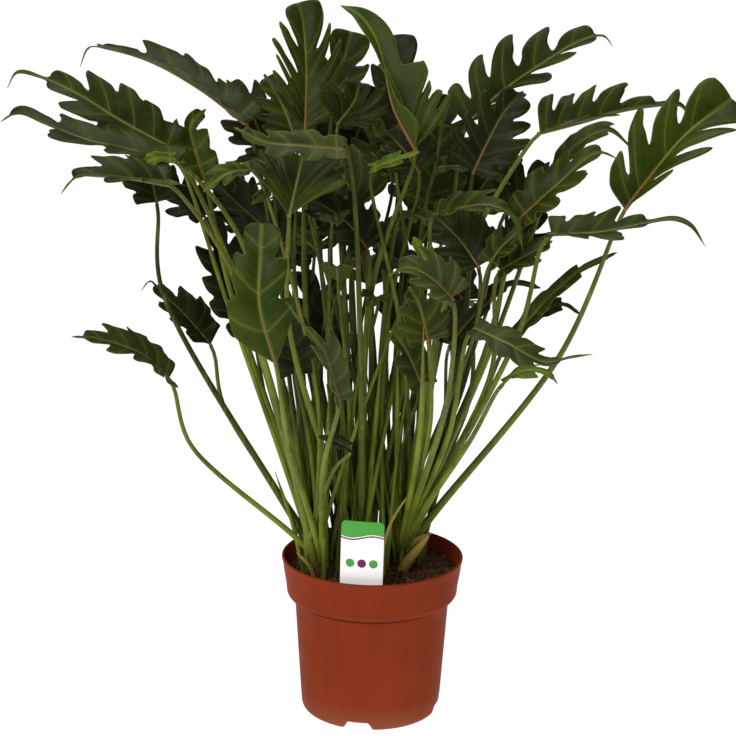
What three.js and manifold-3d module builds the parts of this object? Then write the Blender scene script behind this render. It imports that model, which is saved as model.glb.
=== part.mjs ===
// Potted philodendron: a moulded nursery pot full of soil, a plant tag, three crowns of leaf stalks
// and their lobed blades. Millimetres, +Z up. The origin is on the pot's axis, on the surface that
// the pot stands on, and the front of the plant looks along -Y.
import * as THREE from 'three';
import { mergeVertices } from 'three/addons/utils/BufferGeometryUtils.js';
import Module from 'manifold-3d';

const wasm = await Module();
wasm.setup();

// ---- Driving dimensions ----

const FIT = 0.3; // gap between pieces that touch

const POT = {
  height: 171,
  rimRadius: 95, // outside, at the lip
  bandHeight: 37, // the wide band below the lip
  bandRadius: 89.5, // outside, at the band's lower edge
  stepRadius: 81, // outside, just under the band
  footRadius: 73,
  footCorner: 9, // radius of the rounded corner at the foot
  wall: 2.2,
  floor: 7, // underside of the raised floor
  segments: 28,
};
const NOTCH = { count: 4, width: 35, top: 24, height: 8, firstAngle: -101.2 };
const DRAIN = { radius: 5, ring: 48 };

const SOIL = { level: 157, bump: 1.6 };

const TAG = {
  width: 44,
  above: 77, // height above the soil
  below: 25, // length pushed into the soil
  point: 22, // length of the pointed end
  corner: 5,
  thickness: 0.9,
  x: -11.5,
  y: -79,
  yaw: -7,
  roll: 0.9,
};

const CROWN = { radius: 19, foot: 12, crest: 20, segments: 12 };
const CROWNS = {
  left: [-52, -18],
  middle: [-12, 8],
  right: [28, 18],
};

const STALK = { tip: 2.1, swell: 3.5, sides: 5, steps: 7, ring: 11, collar: 20 };

const BLADE = {
  thickness: 0.8,
  neck: 1.5, // half-width where the blade meets its stalk
  curl: 0.22, // how far the lobe ends bend back down, as a share of the half-width
  wave: 0.09, // rise and fall from lobe to lobe, as a share of the half-width
  widest: 0.38, // share of the blade at which it is widest
  lastLobe: 0.93, // where the last lobe ends, as a share of the blade
  nib: 0.04, // share of the length past the last lobe where there is no tail
};

// What a blade is like when its row doesn't say.
const SHAPE = {
  fold: 28, // degrees that each half rises from flat
  ease: 0.5, // share of that fold which is gone at the tip
  turn: 0, // degrees that the face turns to the right
  twist: 0, // degrees that the tip is rolled about the midrib
  bay: 0.6, // share of a lobe's reach that is left between the lobes
  tail: 0.06, // share of the length that is a thin tail
  thin: 2, // half-width of that tail
  end: 0.2, // width of the end lobe, as a share of the half-width
  first: 0.08, // where the first lobe ends, as a share of the length
  lean: [84, 40], // degrees from the midrib to the first and last side veins
};

// Leaves that fan out behind: direction from the pot's axis (degrees), height of the blade's base,
// crown, and distance of the base from the axis.
const BACK = {
  length: 122,
  arch: 18,
  half: 42,
  lobes: 5,
  places: [
    [50, 455, 'right', 140],
    [64, 380, 'right', 120],
    [75, 520, 'right', 135],
    [92, 430, 'middle', 125],
    [106, 530, 'middle', 120],
    [112, 340, 'middle', 125],
    [130, 430, 'left', 150],
  ],
};

const TONES = {
  deep: 0x3f5f22,
  dark: 0x2c4020,
  bright: 0x5a7f26,
  young: 0x86a83a,
  pale: 0x6f8556,
};

// Leaves: name, crown, tone, half-width, side lobes, how far the face turns to the front from the
// sky (degrees), a point that the stalk bends through, the midrib from base to tip, and what its
// own shape is.
const LEAVES = [
  ['left_top', 'left', 'deep', 46, 5, 12, [-95, 15, 440],
    [[-135, 30, 620], [-180, 50, 650], [-235, 75, 675], [-280, 90, 685], [-300, 100, 685],
      [-310, 100, 665]],
    { fold: 33, turn: 88, bay: 0.66, tail: 0.16 }],
  ['left_upper', 'left', 'deep', 42, 5, 35, [-140, -20, 465],
    [[-205, -10, 600], [-260, -10, 630], [-300, -10, 655], [-335, -5, 670], [-360, -5, 675],
      [-370, -10, 660]],
    { fold: 24, turn: 27, ease: 0.36, twist: 34, bay: 0.74, tail: 0.26, thin: 3 }],
  ['left_middle', 'left', 'deep', 36, 4, 22, [-135, -60, 520],
    [[-195, -55, 595], [-245, -65, 610], [-285, -70, 620], [-325, -70, 635], [-350, -65, 645],
      [-370, -60, 635]],
    { fold: 25, turn: 60, bay: 0.7, end: 0.3, thin: 3 }],
  ['left_lower', 'left', 'deep', 36, 4, 15, [-140, -100, 495],
    [[-200, -115, 585], [-235, -135, 595], [-265, -150, 600], [-285, -155, 600], [-300, -160, 585]],
    { fold: 34, turn: 45, bay: 0.8, tail: 0.16 }],
  ['left_wedge', 'left', 'dark', 32, 4, 45, [-220, 15, 450],
    [[-225, 20, 540], [-235, 40, 570], [-255, 65, 595]], { bay: 0.8 }],
  ['left_curl', 'left', 'bright', 23, 3, 67, [-150, 5, 455],
    [[-175, 10, 565], [-185, 15, 595], [-190, 20, 620], [-175, 30, 635]],
    { fold: 25, turn: 7, bay: 0.85, first: 0.25 }],
  ['left_low_bright', 'left', 'pale', 27, 5, 35, [-185, -70, 310],
    [[-205, -90, 385], [-230, -110, 415], [-270, -130, 435], [-295, -140, 440]],
    { fold: 28, turn: 52, bay: 0.88, tail: 0.1 }],
  ['left_low_dark', 'left', 'dark', 30, 4, 42, [-160, 60, 315],
    [[-175, 80, 375], [-205, 95, 405], [-230, 105, 425], [-240, 110, 435], [-250, 110, 425]],
    { fold: 28, turn: 38, bay: 0.8, tail: 0.2, first: 0.2 }],
  ['left_inner', 'left', 'dark', 38, 6, 35, [-80, 40, 350],
    [[-75, 60, 475], [-115, 80, 500], [-160, 100, 535], [-185, 115, 555]], { bay: 0.6 }],
  ['left_behind', 'left', 'dark', 38, 5, 50, [-110, 45, 305],
    [[-130, 75, 390], [-155, 95, 450], [-180, 110, 515]], { bay: 0.7 }],
  ['front_left', 'left', 'bright', 31, 3, 61, [-85, -130, 335],
    [[-95, -205, 435], [-110, -205, 490], [-110, -190, 535], [-110, -165, 560]],
    { fold: 16, turn: 5, bay: 0.78, tail: 0, end: 0.5, first: 0.38, lean: [56, 44] }],
  ['left_grey', 'middle', 'pale', 20, 4, 44, [-15, -70, 415],
    [[-35, -75, 615], [-75, -85, 620], [-110, -95, 625], [-140, -100, 640]],
    { fold: 20, turn: 29, bay: 0.7, tail: 0.08, end: 0.3 }],
  ['centre_left', 'middle', 'deep', 58, 5, 24, [-85, -90, 435],
    [[-85, -125, 560], [-80, -80, 580], [-75, -25, 600]],
    { fold: 40, turn: 20, bay: 0.7, end: 0.45, first: 0.3, lean: [60, 28] }],
  ['top_left', 'middle', 'deep', 46, 6, 64, [-70, 25, 405],
    [[-75, 40, 615], [-75, 65, 670], [-80, 90, 720], [-85, 95, 735]],
    { fold: 31, turn: 23, bay: 0.4, tail: 0, end: 0.36, first: 0.25, lean: [52, 26] }],
  ['top_left_behind', 'middle', 'deep', 36, 4, 67, [-45, 60, 400],
    [[-50, 95, 610], [-45, 115, 650], [-35, 130, 680], [-30, 140, 700]],
    { fold: 20, turn: 4, bay: 0.55, tail: 0, end: 0.5, lean: [70, 40] }],
  ['top_curl', 'middle', 'dark', 46, 5, 65, [-30, -10, 415],
    [[-40, -10, 630], [-25, 0, 650], [-20, 10, 670]],
    { fold: 40, turn: -4, bay: 0.65, first: 0.2, lean: [75, 35] }],
  ['top_behind', 'middle', 'dark', 34, 4, 68, [10, 80, 395],
    [[25, 115, 590], [20, 135, 640], [15, 155, 695]], { bay: 0.8, tail: 0, end: 0.6 }],
  ['top_right', 'middle', 'bright', 64, 4, 55, [-5, -40, 465],
    [[35, -60, 615], [15, -45, 650], [5, -25, 685], [-5, -10, 715], [-20, 0, 735], [-40, 5, 745]],
    { fold: 61, turn: 50, ease: 0.92, twist: 36, bay: 0.5, end: 0.62, tail: 0.5, thin: 20,
      first: 0.34, lean: [56, 34] }],
  ['centre_dark', 'middle', 'dark', 36, 5, 40, [-10, -45, 425],
    [[-10, -50, 510], [-30, -45, 535], [-60, -40, 555], [-85, -35, 565]], { bay: 0.8 }],
  ['centre_bright', 'middle', 'deep', 44, 4, 57, [-5, 20, 410],
    [[-20, 30, 535], [-35, 40, 565], [-60, 55, 590]],
    { fold: 28, turn: 15, bay: 0.7, first: 0.25, lean: [62, 34] }],
  ['back_left_dark', 'left', 'dark', 38, 5, 60, [-90, 65, 340],
    [[-95, 100, 460], [-80, 120, 490], [-60, 135, 515]], { bay: 0.75 }],
  ['back_middle_dark', 'middle', 'dark', 32, 4, 60, [-45, 45, 295],
    [[-45, 75, 370], [-60, 90, 410], [-80, 105, 455]], { bay: 0.8 }],
  ['front_shade', 'left', 'dark', 24, 4, 60, [-65, -45, 300],
    [[-80, -60, 385], [-85, -60, 425], [-95, -60, 455]], { bay: 0.85 }],
  ['front_low', 'left', 'pale', 22, 4, 57, [-50, -140, 310],
    [[-35, -225, 405], [-50, -235, 455], [-70, -230, 480], [-85, -225, 500]],
    { fold: 42, turn: 38, bay: 0.93, tail: 0.28, end: 0.12 }],
  ['right_top', 'right', 'deep', 52, 5, 35, [65, 35, 405],
    [[90, 45, 620], [125, 65, 650], [170, 80, 680], [205, 90, 700], [230, 95, 705], [240, 95, 695]],
    { fold: 40, turn: -23, bay: 0.36, tail: 0.12, thin: 2.5, first: 0.14, lean: [72, 48], end: 0.16 }],
  ['right_broad', 'right', 'dark', 42, 5, 62, [90, -5, 415],
    [[95, -25, 585], [110, -10, 615], [125, 5, 640], [145, 20, 660]],
    { fold: 24, turn: 3, bay: 0.62, end: 0.3 }],
  ['right_upper', 'right', 'deep', 44, 5, 21, [75, -50, 475],
    [[160, -25, 625], [200, -20, 635], [240, -10, 645], [275, -5, 650], [300, 0, 650], [320, 5, 625]],
    { fold: 46, turn: -6, bay: 0.48, tail: 0.32, thin: 6, first: 0.16, lean: [72, 42] }],
  ['right_far', 'right', 'bright', 53, 4, 32, [185, -80, 415],
    [[240, -100, 565], [265, -85, 595], [300, -55, 630], [350, -10, 660]],
    { fold: 45, turn: -29, ease: 0.67, twist: -40, bay: 0.4, tail: 0, end: 0.52, first: 0.24,
      lean: [56, 34] }],
  ['right_arch', 'right', 'pale', 15, 4, 30, [120, 50, 380],
    [[180, 70, 555], [200, 75, 590], [235, 75, 610], [265, 70, 590]], { bay: 0.9, thin: 3 }],
  ['right_light', 'right', 'deep', 30, 4, 42, [110, -60, 410],
    [[140, -95, 555], [175, -100, 590], [210, -100, 620], [230, -100, 615]],
    { fold: 28, turn: -30, bay: 0.7, tail: 0.14, thin: 2.5 }],
  ['right_level', 'right', 'deep', 32, 4, 14, [140, -125, 450],
    [[165, -150, 550], [210, -160, 555], [250, -165, 565], [280, -165, 570], [295, -170, 565],
      [310, -170, 545]],
    { fold: 28, turn: -10, ease: 0.12, twist: -59, bay: 0.7, tail: 0.42, thin: 4 }],
  ['right_inner_low', 'right', 'deep', 26, 3, 44, [115, -95, 400],
    [[120, -110, 505], [145, -110, 520], [170, -110, 535]], { fold: 32, turn: -36, bay: 0.9 }],
  ['right_hook', 'right', 'deep', 24, 4, 19, [60, -100, 440],
    [[55, -90, 555], [80, -105, 565], [110, -115, 570], [130, -120, 560], [140, -130, 530]],
    { fold: 28, turn: -13, ease: 0.09, twist: -52, bay: 0.8, tail: 0.36, thin: 4 }],
  ['right_ribbon', 'right', 'deep', 10, 4, 45, [105, -60, 350],
    [[130, -75, 420], [170, -80, 470], [200, -85, 500], [235, -90, 520]], { bay: 0.9 }],
  ['right_ribbon_low', 'right', 'dark', 9, 3, 45, [110, -25, 340],
    [[155, -40, 435], [185, -45, 455], [205, -45, 445]], { bay: 0.9 }],
  ['right_grey', 'right', 'pale', 21, 4, 27, [75, -115, 345],
    [[95, -165, 460], [125, -180, 450], [160, -190, 435], [185, -190, 440], [205, -195, 445]],
    { fold: 12, turn: 3, bay: 0.93, tail: 0.26, thin: 2.5 }],
  ['right_small', 'right', 'young', 14, 3, 19, [95, -145, 345],
    [[120, -215, 420], [135, -225, 435], [160, -230, 435], [170, -230, 425]],
    { fold: 10, turn: 34, bay: 0.9, tail: 0.1 }],
  ['right_strap', 'right', 'dark', 13, 2, 40, [100, 65, 320],
    [[110, 90, 425], [145, 100, 440], [175, 105, 435]], { bay: 0.9 }],
  ['front_right', 'right', 'pale', 30, 4, 40, [70, -160, 390],
    [[70, -205, 500], [50, -210, 520], [30, -210, 530], [10, -205, 520]],
    { fold: 42, turn: -7, bay: 0.92, tail: 0.2, end: 0.3 }],
  ['front_bright', 'right', 'deep', 28, 4, 62, [55, -110, 350],
    [[50, -150, 445], [40, -145, 480], [30, -140, 495]], { bay: 0.88 }],
  ['back_right_dark', 'right', 'dark', 34, 5, 40, [125, 80, 395],
    [[130, 100, 540], [100, 115, 545], [75, 120, 550]], { bay: 0.75 }],
  ['centre_right', 'right', 'dark', 40, 5, 45, [95, -60, 400],
    [[100, -75, 500], [80, -60, 525], [50, -45, 550]], { bay: 0.75 }],
  ['centre_young', 'right', 'young', 15, 3, 60, [55, -85, 365],
    [[55, -100, 495], [45, -100, 515], [35, -100, 535]], { bay: 0.85 }],
  ['centre_small', 'middle', 'dark', 24, 3, 45, [30, 5, 360],
    [[35, 10, 480], [20, 15, 485], [-5, 20, 500]], { bay: 0.85 }],
  ['right_deep', 'right', 'dark', 36, 5, 45, [100, 10, 400],
    [[130, 15, 535], [150, 25, 555], [175, 35, 585]], { bay: 0.75 }],
  ['back_centre', 'right', 'dark', 32, 4, 60, [45, 50, 370],
    [[55, 75, 490], [50, 90, 540], [40, 100, 570]], { bay: 0.8 }],
];

// Rolled young leaves among the stalks, and one dry stump: crown, a point on the way, the tip and
// the thickness.
const SPEARS = [
  ['right', [45, -100, 330], [45, -178, 465], 3.6],
  ['right', [43, 4, 184], [62, -9, 198], 4.2],
  ['right', [24, -20, 300], [22, -45, 405], 3.4],
  ['right', [34, 40, 320], [30, 60, 440], 3.4],
  ['middle', [0, -24, 310], [6, -55, 400], 3.4],
  ['middle', [8, 20, 330], [16, 26, 455], 3.4],
  ['middle', [-32, -14, 320], [-44, -30, 420], 3.4],
  ['left', [-48, -46, 290], [-46, -82, 370], 3.4],
  ['left', [-64, 2, 300], [-84, 8, 400], 3.4],
];

// ---- Shared helpers ----

const rad = THREE.MathUtils.degToRad;
const vec = (p) => new THREE.Vector3(...p);

function finish(color, roughness) {
  return new THREE.MeshStandardMaterial({ color, roughness, metalness: 0 });
}

function named(name, geometry, material) {
  const mesh = new THREE.Mesh(geometry, material);
  mesh.name = name;
  return mesh;
}

// Merged, position-only copy of a closed three.js geometry as a solid that can be cut and joined.
function toSolid(geometry) {
  const bare = geometry.clone();
  bare.deleteAttribute('normal');
  bare.deleteAttribute('uv');
  const merged = mergeVertices(bare, 1e-4);
  return new wasm.Manifold(new wasm.Mesh({
    numProp: 3,
    vertProperties: merged.attributes.position.array,
    triVerts: new Uint32Array(merged.index.array),
  }));
}

// The largest shell of a solid, which leaves out the small hollows sealed between crossing stalks.
function outerBody(solid) {
  return solid.decompose().reduce((a, b) => (a.volume() > b.volume() ? a : b));
}

function toGeometry(solid) {
  const mesh = solid.getMesh();
  return indexed(mesh.vertProperties, mesh.triVerts);
}

function indexed(positions, triangles) {
  const geometry = new THREE.BufferGeometry();
  geometry.setAttribute('position', new THREE.BufferAttribute(new Float32Array(positions), 3));
  geometry.setIndex([...triangles]);
  geometry.computeVertexNormals();
  return geometry;
}

function lathe(profile, segments) {
  const points = profile.map(([r, z]) => new THREE.Vector2(r, z));
  return new THREE.LatheGeometry(points, segments).rotateX(Math.PI / 2);
}

// Upright prism of an outline in X and Z, centred on Y.
function slab(shape, depth) {
  const geometry = new THREE.ExtrudeGeometry(shape, { depth, bevelEnabled: false, curveSegments: 4 });
  return geometry.translate(0, 0, -depth / 2).rotateX(Math.PI / 2);
}

// ---- Pot ----

function arcPoints(cx, cz, radius, fromDeg, toDeg, steps) {
  return Array.from({ length: steps + 1 }, (_, i) => {
    const angle = rad(fromDeg + (toDeg - fromDeg) * (i / steps));
    return [cx + radius * Math.cos(angle), cz + radius * Math.sin(angle)];
  });
}

function innerRadius(z) {
  const bandFoot = POT.height - POT.bandHeight;
  const share = (z - bandFoot) / POT.bandHeight;
  return THREE.MathUtils.lerp(POT.bandRadius, POT.rimRadius, share) - POT.wall;
}

function potGeometry() {
  const { height, rimRadius, bandHeight, bandRadius, stepRadius, footRadius, footCorner, wall, floor } = POT;
  const bandFoot = height - bandHeight;
  const outside = [
    [0, floor],
    [footRadius - footCorner - 4, floor],
    [footRadius - footCorner - 3, 0],
    ...arcPoints(footRadius - footCorner, footCorner, footCorner, -90, 0, 4),
    [stepRadius, bandFoot - 8],
    ...arcPoints(stepRadius + 1, bandFoot, 8, -60, 0, 3).map(([r, z]) => [Math.min(r, bandRadius), z]),
    [rimRadius - 1, height - 4],
    [rimRadius, height - 1.5],
    [rimRadius - 1, height],
    [rimRadius - wall, height],
  ];
  const inside = [
    [bandRadius - wall, bandFoot + 2],
    [stepRadius - wall, bandFoot - 8],
    [footRadius - wall, floor + wall + 6],
    [footRadius - footCorner, floor + wall],
    [0, floor + wall],
  ];
  let solid = toSolid(lathe([...outside, ...inside], POT.segments));
  for (let i = 0; i < NOTCH.count; i++) {
    const angle = rad(NOTCH.firstAngle + (360 / NOTCH.count) * i);
    solid = solid.subtract(toSolid(notchGeometry(angle)));
    solid = solid.subtract(toSolid(drainGeometry(angle + Math.PI / NOTCH.count)));
  }
  return toGeometry(solid);
}

function notchGeometry(angle) {
  const shape = new THREE.Shape();
  shape.moveTo(-NOTCH.width / 2, -2);
  shape.lineTo(NOTCH.width / 2, -2);
  shape.lineTo(NOTCH.top / 2, NOTCH.height);
  shape.lineTo(-NOTCH.top / 2, NOTCH.height);
  const reach = POT.footCorner + 14;
  const cut = slab(shape, reach).translate(0, -(POT.footRadius - reach / 2 + 6), 0);
  return cut.rotateZ(angle + Math.PI / 2);
}

function drainGeometry(angle) {
  const hole = new THREE.CylinderGeometry(DRAIN.radius, DRAIN.radius, 12, 12).rotateX(Math.PI / 2);
  return hole.translate(DRAIN.ring * Math.cos(angle), DRAIN.ring * Math.sin(angle), POT.floor);
}

// ---- Soil ----

function soilGeometry() {
  const floor = POT.floor + POT.wall + FIT;
  const bandFoot = POT.height - POT.bandHeight;
  const edge = innerRadius(SOIL.level - 6) - FIT;
  const profile = [
    [0, floor],
    [POT.footRadius - POT.footCorner - FIT, floor],
    [POT.footRadius - POT.wall - FIT, POT.floor + POT.wall + 6],
    [POT.stepRadius - POT.wall - FIT, bandFoot - 8],
    [POT.bandRadius - POT.wall - FIT, bandFoot + 2],
    [edge, SOIL.level - 2],
    ...[0.78, 0.5, 0.24, 0].map((share) => [edge * share, SOIL.level]),
  ];
  const geometry = lathe(profile, POT.segments);
  const at = geometry.attributes.position;
  for (let i = 0; i < at.count; i++) {
    const [x, y, z] = [at.getX(i), at.getY(i), at.getZ(i)];
    if (z < SOIL.level - 1) continue;
    at.setZ(i, z + SOIL.bump * Math.sin(0.13 * x + 1.7) * Math.cos(0.11 * y + 0.6));
  }
  let solid = toSolid(geometry);
  for (const [x, y] of Object.values(CROWNS)) {
    const hole = new THREE.CylinderGeometry(CROWN.radius + 1, CROWN.radius + 1, 40, 16);
    hole.rotateX(Math.PI / 2).translate(x, y, SOIL.level - CROWN.foot - FIT + 20);
    solid = solid.subtract(toSolid(hole));
  }
  const slot = new THREE.BoxGeometry(TAG.width + 2 * FIT, TAG.thickness + 2 * FIT, TAG.below + 12);
  slot.translate(0, 0, (12 - TAG.below) / 2 - FIT);
  return toGeometry(solid.subtract(toSolid(placeTag(slot))));
}

// ---- Plant tag ----

function placeTag(geometry) {
  geometry.rotateY(rad(TAG.roll)).rotateZ(rad(TAG.yaw));
  return geometry.translate(TAG.x, TAG.y, SOIL.level);
}

function tagGeometry() {
  const { width, above, below, point, corner } = TAG;
  const w = width / 2;
  const shape = new THREE.Shape();
  shape.moveTo(0, -below);
  shape.lineTo(w, point - below);
  shape.lineTo(w, above - corner);
  shape.quadraticCurveTo(w, above, w - corner, above);
  shape.lineTo(corner - w, above);
  shape.quadraticCurveTo(-w, above, -w, above - corner);
  shape.lineTo(-w, point - below);
  return placeTag(slab(shape, TAG.thickness));
}

// ---- Stalks ----

// Tapered closed tube along a curve. radius(u) gives the thickness from u = 0 to 1.
function tube(curve, radius, sides, steps) {
  const frames = curve.computeFrenetFrames(steps, false);
  const positions = [];
  for (let i = 0; i <= steps; i++) {
    const centre = curve.getPointAt(i / steps);
    for (let k = 0; k < sides; k++) {
      const angle = (2 * Math.PI * k) / sides;
      const point = centre.clone()
        .addScaledVector(frames.normals[i], radius(i / steps) * Math.cos(angle))
        .addScaledVector(frames.binormals[i], radius(i / steps) * Math.sin(angle));
      positions.push(...point.toArray());
    }
  }
  const triangles = [];
  for (let i = 0; i < steps; i++) {
    for (let k = 0; k < sides; k++) {
      const a = i * sides + k;
      const b = i * sides + ((k + 1) % sides);
      triangles.push(a, b, b + sides, a, b + sides, a + sides);
    }
  }
  const last = steps * sides;
  for (let k = 1; k < sides - 1; k++) {
    triangles.push(0, k + 1, k, last, last + k, last + k + 1);
  }
  return indexed(positions, triangles);
}

function rootPoint([cx, cy], towards, rank) {
  const away = new THREE.Vector2(towards.x - cx, towards.y - cy).normalize();
  const reach = STALK.ring * (0.35 + 0.65 * ((rank * 0.618) % 1));
  return new THREE.Vector3(cx + away.x * reach, cy + away.y * reach, SOIL.level - 6);
}

function stalkGeometry(leaf, rank) {
  const via = vec(leaf.via);
  const base = vec(leaf.rib[0]);
  const along = ribCurve(leaf.rib).getTangentAt(0);
  const arrive = base.clone().sub(via).normalize().lerp(along, 0.35).normalize();
  const end = base.clone().addScaledVector(arrive, -(BLADE.thickness / 2 + 2 * FIT));
  const root = rootPoint(CROWNS[leaf.crown], via, rank);
  const collar = root.clone().lerp(via, 0.03).setZ(SOIL.level + STALK.collar);
  const neck = end.clone().addScaledVector(arrive, -12);
  const curve = new THREE.CatmullRomCurve3([root, collar, via, neck, end]);
  const radius = (u) => STALK.tip + STALK.swell * (1 - u) ** 1.1;
  return tube(curve, radius, STALK.sides, STALK.steps);
}

function spearGeometry([crown, via, tip, thick], rank) {
  const root = rootPoint(CROWNS[crown], vec(via), rank);
  const collar = root.clone().lerp(vec(via), 0.03).setZ(SOIL.level + STALK.collar * 0.5);
  const curve = new THREE.CatmullRomCurve3([root, collar, vec(via), vec(tip)]);
  const radius = (u) => Math.max(0.8, thick * (1 - u ** 4));
  return tube(curve, radius, STALK.sides, STALK.steps);
}

function crownGeometry(crown) {
  const { radius, foot, crest, segments } = CROWN;
  const [x, y] = CROWNS[crown];
  const profile = [[0, -foot], [radius - 3, -foot], [radius, 1], [radius - 4, crest - 8], [0, crest]];
  return lathe(profile, segments).translate(x, y, SOIL.level);
}

function stemsGeometry(crown) {
  const leaves = LEAF_LIST.filter((leaf) => leaf.crown === crown);
  const spears = SPEARS.filter(([name]) => name === crown);
  const pieces = [
    crownGeometry(crown),
    ...leaves.map(stalkGeometry),
    ...spears.map(spearGeometry),
  ];
  return toGeometry(outerBody(wasm.Manifold.union(pieces.map(toSolid))));
}

// ---- Blades ----

function ribCurve(rib) {
  return new THREE.CatmullRomCurve3(rib.map(vec));
}

// How far the lobes reach out at a share u of the blade, its tail left out.
function halfWidth(u, { half, end }) {
  const away = Math.abs(u - BLADE.widest) / (1 - BLADE.widest);
  return half * (1 - (1 - end) * away ** 1.7);
}

// The side veins that the lobes grow along: crowded and square to the midrib at the base, leaning
// on later. Places along the midrib are in millimetres.
function sideVeins(leaf, body) {
  const { lobes, first, lean } = leaf;
  const pitch = ((BLADE.lastLobe - first) * body) / (lobes - 1);
  const veins = [];
  for (let i = 0; i < lobes; i++) {
    const tip = first * body + i * pitch;
    const reach = halfWidth(tip / body, leaf);
    const angle = rad(THREE.MathUtils.lerp(lean[0], lean[1], (i / (lobes - 1)) ** 0.6));
    const least = i === 0 ? 0.02 * body : veins[i - 1].root + 0.25 * pitch;
    veins.push({ root: Math.max(tip - reach / Math.tan(angle), least), tip, reach });
  }
  return { veins, pitch };
}

function veinPlace({ root, tip, reach }, w) {
  return root + (tip - root) * (w / reach) ** 1.2;
}

// One side's edge from stalk to tip, as places x along the midrib, w out from it, and the lane
// among the side veins. Each lobe is a back and a front corner between two bays.
function edgePoints(leaf, body) {
  const { veins, pitch } = sideVeins(leaf, body);
  const cut = Math.min(0.93, leaf.bay * 1.05);
  const points = [{ x: 0, w: BLADE.neck, lane: 0 }];
  veins.forEach((vein, i) => {
    const w = THREE.MathUtils.lerp(cut, 1, 0.8) * vein.reach;
    const gap = i ? veinPlace(vein, w) - veinPlace(veins[i - 1], w) : pitch;
    points.push({ x: veinPlace(vein, w) - 0.27 * gap, w, lane: i });
    const ahead = veins[i + 1];
    if (ahead) {
      points.push({ x: vein.tip + 0.1 * pitch, w: vein.reach, lane: i });
      const bay = cut * Math.min(vein.reach, ahead.reach);
      points.push({ x: (veinPlace(vein, bay) + veinPlace(ahead, bay)) / 2, w: bay, lane: i + 0.5 });
    } else {
      points.push({ x: THREE.MathUtils.lerp(vein.tip, body, 0.55), w: vein.reach * 0.86, lane: i });
      points.push({ x: body, w: Math.max(vein.reach * 0.15, leaf.thin), lane: i });
    }
  });
  return { points, veins };
}

// Thin folded blade: a midrib row and an edge on each side, split alike on both faces.
function bladeGeometry(leaf) {
  const { rib, half, lobes, face, turn, tail } = leaf;
  const curve = ribCurve(rib);
  const length = curve.getLength();
  const body = length * (1 - Math.max(tail, BLADE.nib));
  const skyward = new THREE.Vector3(Math.sin(rad(turn)), -Math.cos(rad(turn)), 0)
    .multiplyScalar(Math.sin(rad(face))).setZ(Math.cos(rad(face)));
  const across = curve.getTangentAt(0.5).cross(skyward).normalize();

  function place(x, w, lane, side) {
    const t = THREE.MathUtils.clamp(x / length, 0, 1);
    const along = curve.getTangentAt(t);
    const out = across.clone().addScaledVector(along, -across.dot(along)).normalize();
    out.applyAxisAngle(along, -rad(leaf.twist) * t ** 2);
    const up = out.clone().cross(along);
    const fold = rad(leaf.fold * (1 - leaf.ease * t ** 2));
    const share = w / half;
    const phase = (side > 0 ? 0 : 2.3) + half;
    const rise = half * BLADE.wave * Math.sin(2.1 * lane + phase) * share;
    return curve.getPointAt(t)
      .addScaledVector(along, x - t * length)
      .addScaledVector(out, side * w * Math.cos(fold))
      .addScaledVector(up, w * Math.sin(fold) - half * BLADE.curl * share ** 2.5 + rise);
  }

  const points = [];
  const triangles = [];
  const add = (...args) => points.push(place(...args)) - 1;
  const { points: edge, veins } = edgePoints(leaf, body);
  const creases = veins.slice(1).map((vein, i) => (vein.root + veins[i].root) / 2);
  const ribRow = [0, ...creases, body].map((x) => add(x, 0, 0, 1));
  const tip = add(length, 0, 0, 1);
  const edges = [1, -1].map((side) => {
    const row = edge.map(({ x, w, lane }) => add(x, w, lane, side));
    const tri = (a, b, c) => triangles.push(side > 0 ? [a, c, b] : [a, b, c]);
    for (let i = 0; i < lobes; i++) {
      const [bay, back, front, next] = row.slice(3 * i, 3 * i + 4);
      tri(ribRow[i], ribRow[i + 1], next);
      tri(ribRow[i], next, bay);
      tri(bay, next, back);
      tri(next, front, back);
    }
    tri(ribRow[lobes], tip, row.at(-1));
    return row;
  });
  const loop = [ribRow[0], ...edges[0], tip, ...edges[1].reverse()];
  return thicken(points, triangles, loop, BLADE.thickness);
}

// Closed sheet: both faces of a triangle mesh set apart along its normals, joined round the loop,
// which runs anticlockwise seen from the upper face.
function thicken(points, triangles, loop, thickness) {
  const normals = points.map(() => new THREE.Vector3());
  const face = new THREE.Vector3();
  for (const [a, b, c] of triangles) {
    new THREE.Triangle(points[a], points[b], points[c]).getNormal(face);
    for (const i of [a, b, c]) normals[i].add(face);
  }
  const shift = (sign) => points.flatMap((p, i) => (
    p.clone().addScaledVector(normals[i].normalize(), (sign * thickness) / 2).toArray()
  ));
  const count = points.length;
  const faces = triangles.flatMap(([a, b, c]) => [a, b, c, a + count, c + count, b + count]);
  const wall = loop.flatMap((a, i) => {
    const b = loop[(i + 1) % loop.length];
    return [a + count, b + count, b, a + count, b, a];
  });
  return indexed([...shift(1), ...shift(-1)], [...faces, ...wall]);
}

// ---- Leaves at the back, where they fan away from the front ----

function backLeaves() {
  return BACK.places.map(([degrees, height, crown, reach], i) => {
    const [dx, dy] = [Math.cos(rad(degrees)), Math.sin(rad(degrees))];
    const at = (out, z) => [dx * out, dy * out, z];
    const tip = reach + BACK.length;
    return {
      ...SHAPE,
      name: `back_${i + 1}`,
      crown,
      tone: i % 2 ? 'deep' : 'dark',
      half: BACK.half,
      lobes: BACK.lobes,
      face: 0,
      via: at(reach * 0.62, height * 0.68),
      rib: [at(reach, height), at((reach + tip) / 2, height + BACK.arch), at(tip, height - 8)],
    };
  });
}

const LEAF_LIST = [
  ...LEAVES.map(([name, crown, tone, half, lobes, face, via, rib, shape]) => (
    { ...SHAPE, name, crown, tone, half, lobes, face, via, rib, ...shape }
  )),
  ...backLeaves(),
];

// ---- Assembly ----

const plant = new THREE.Group();

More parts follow.
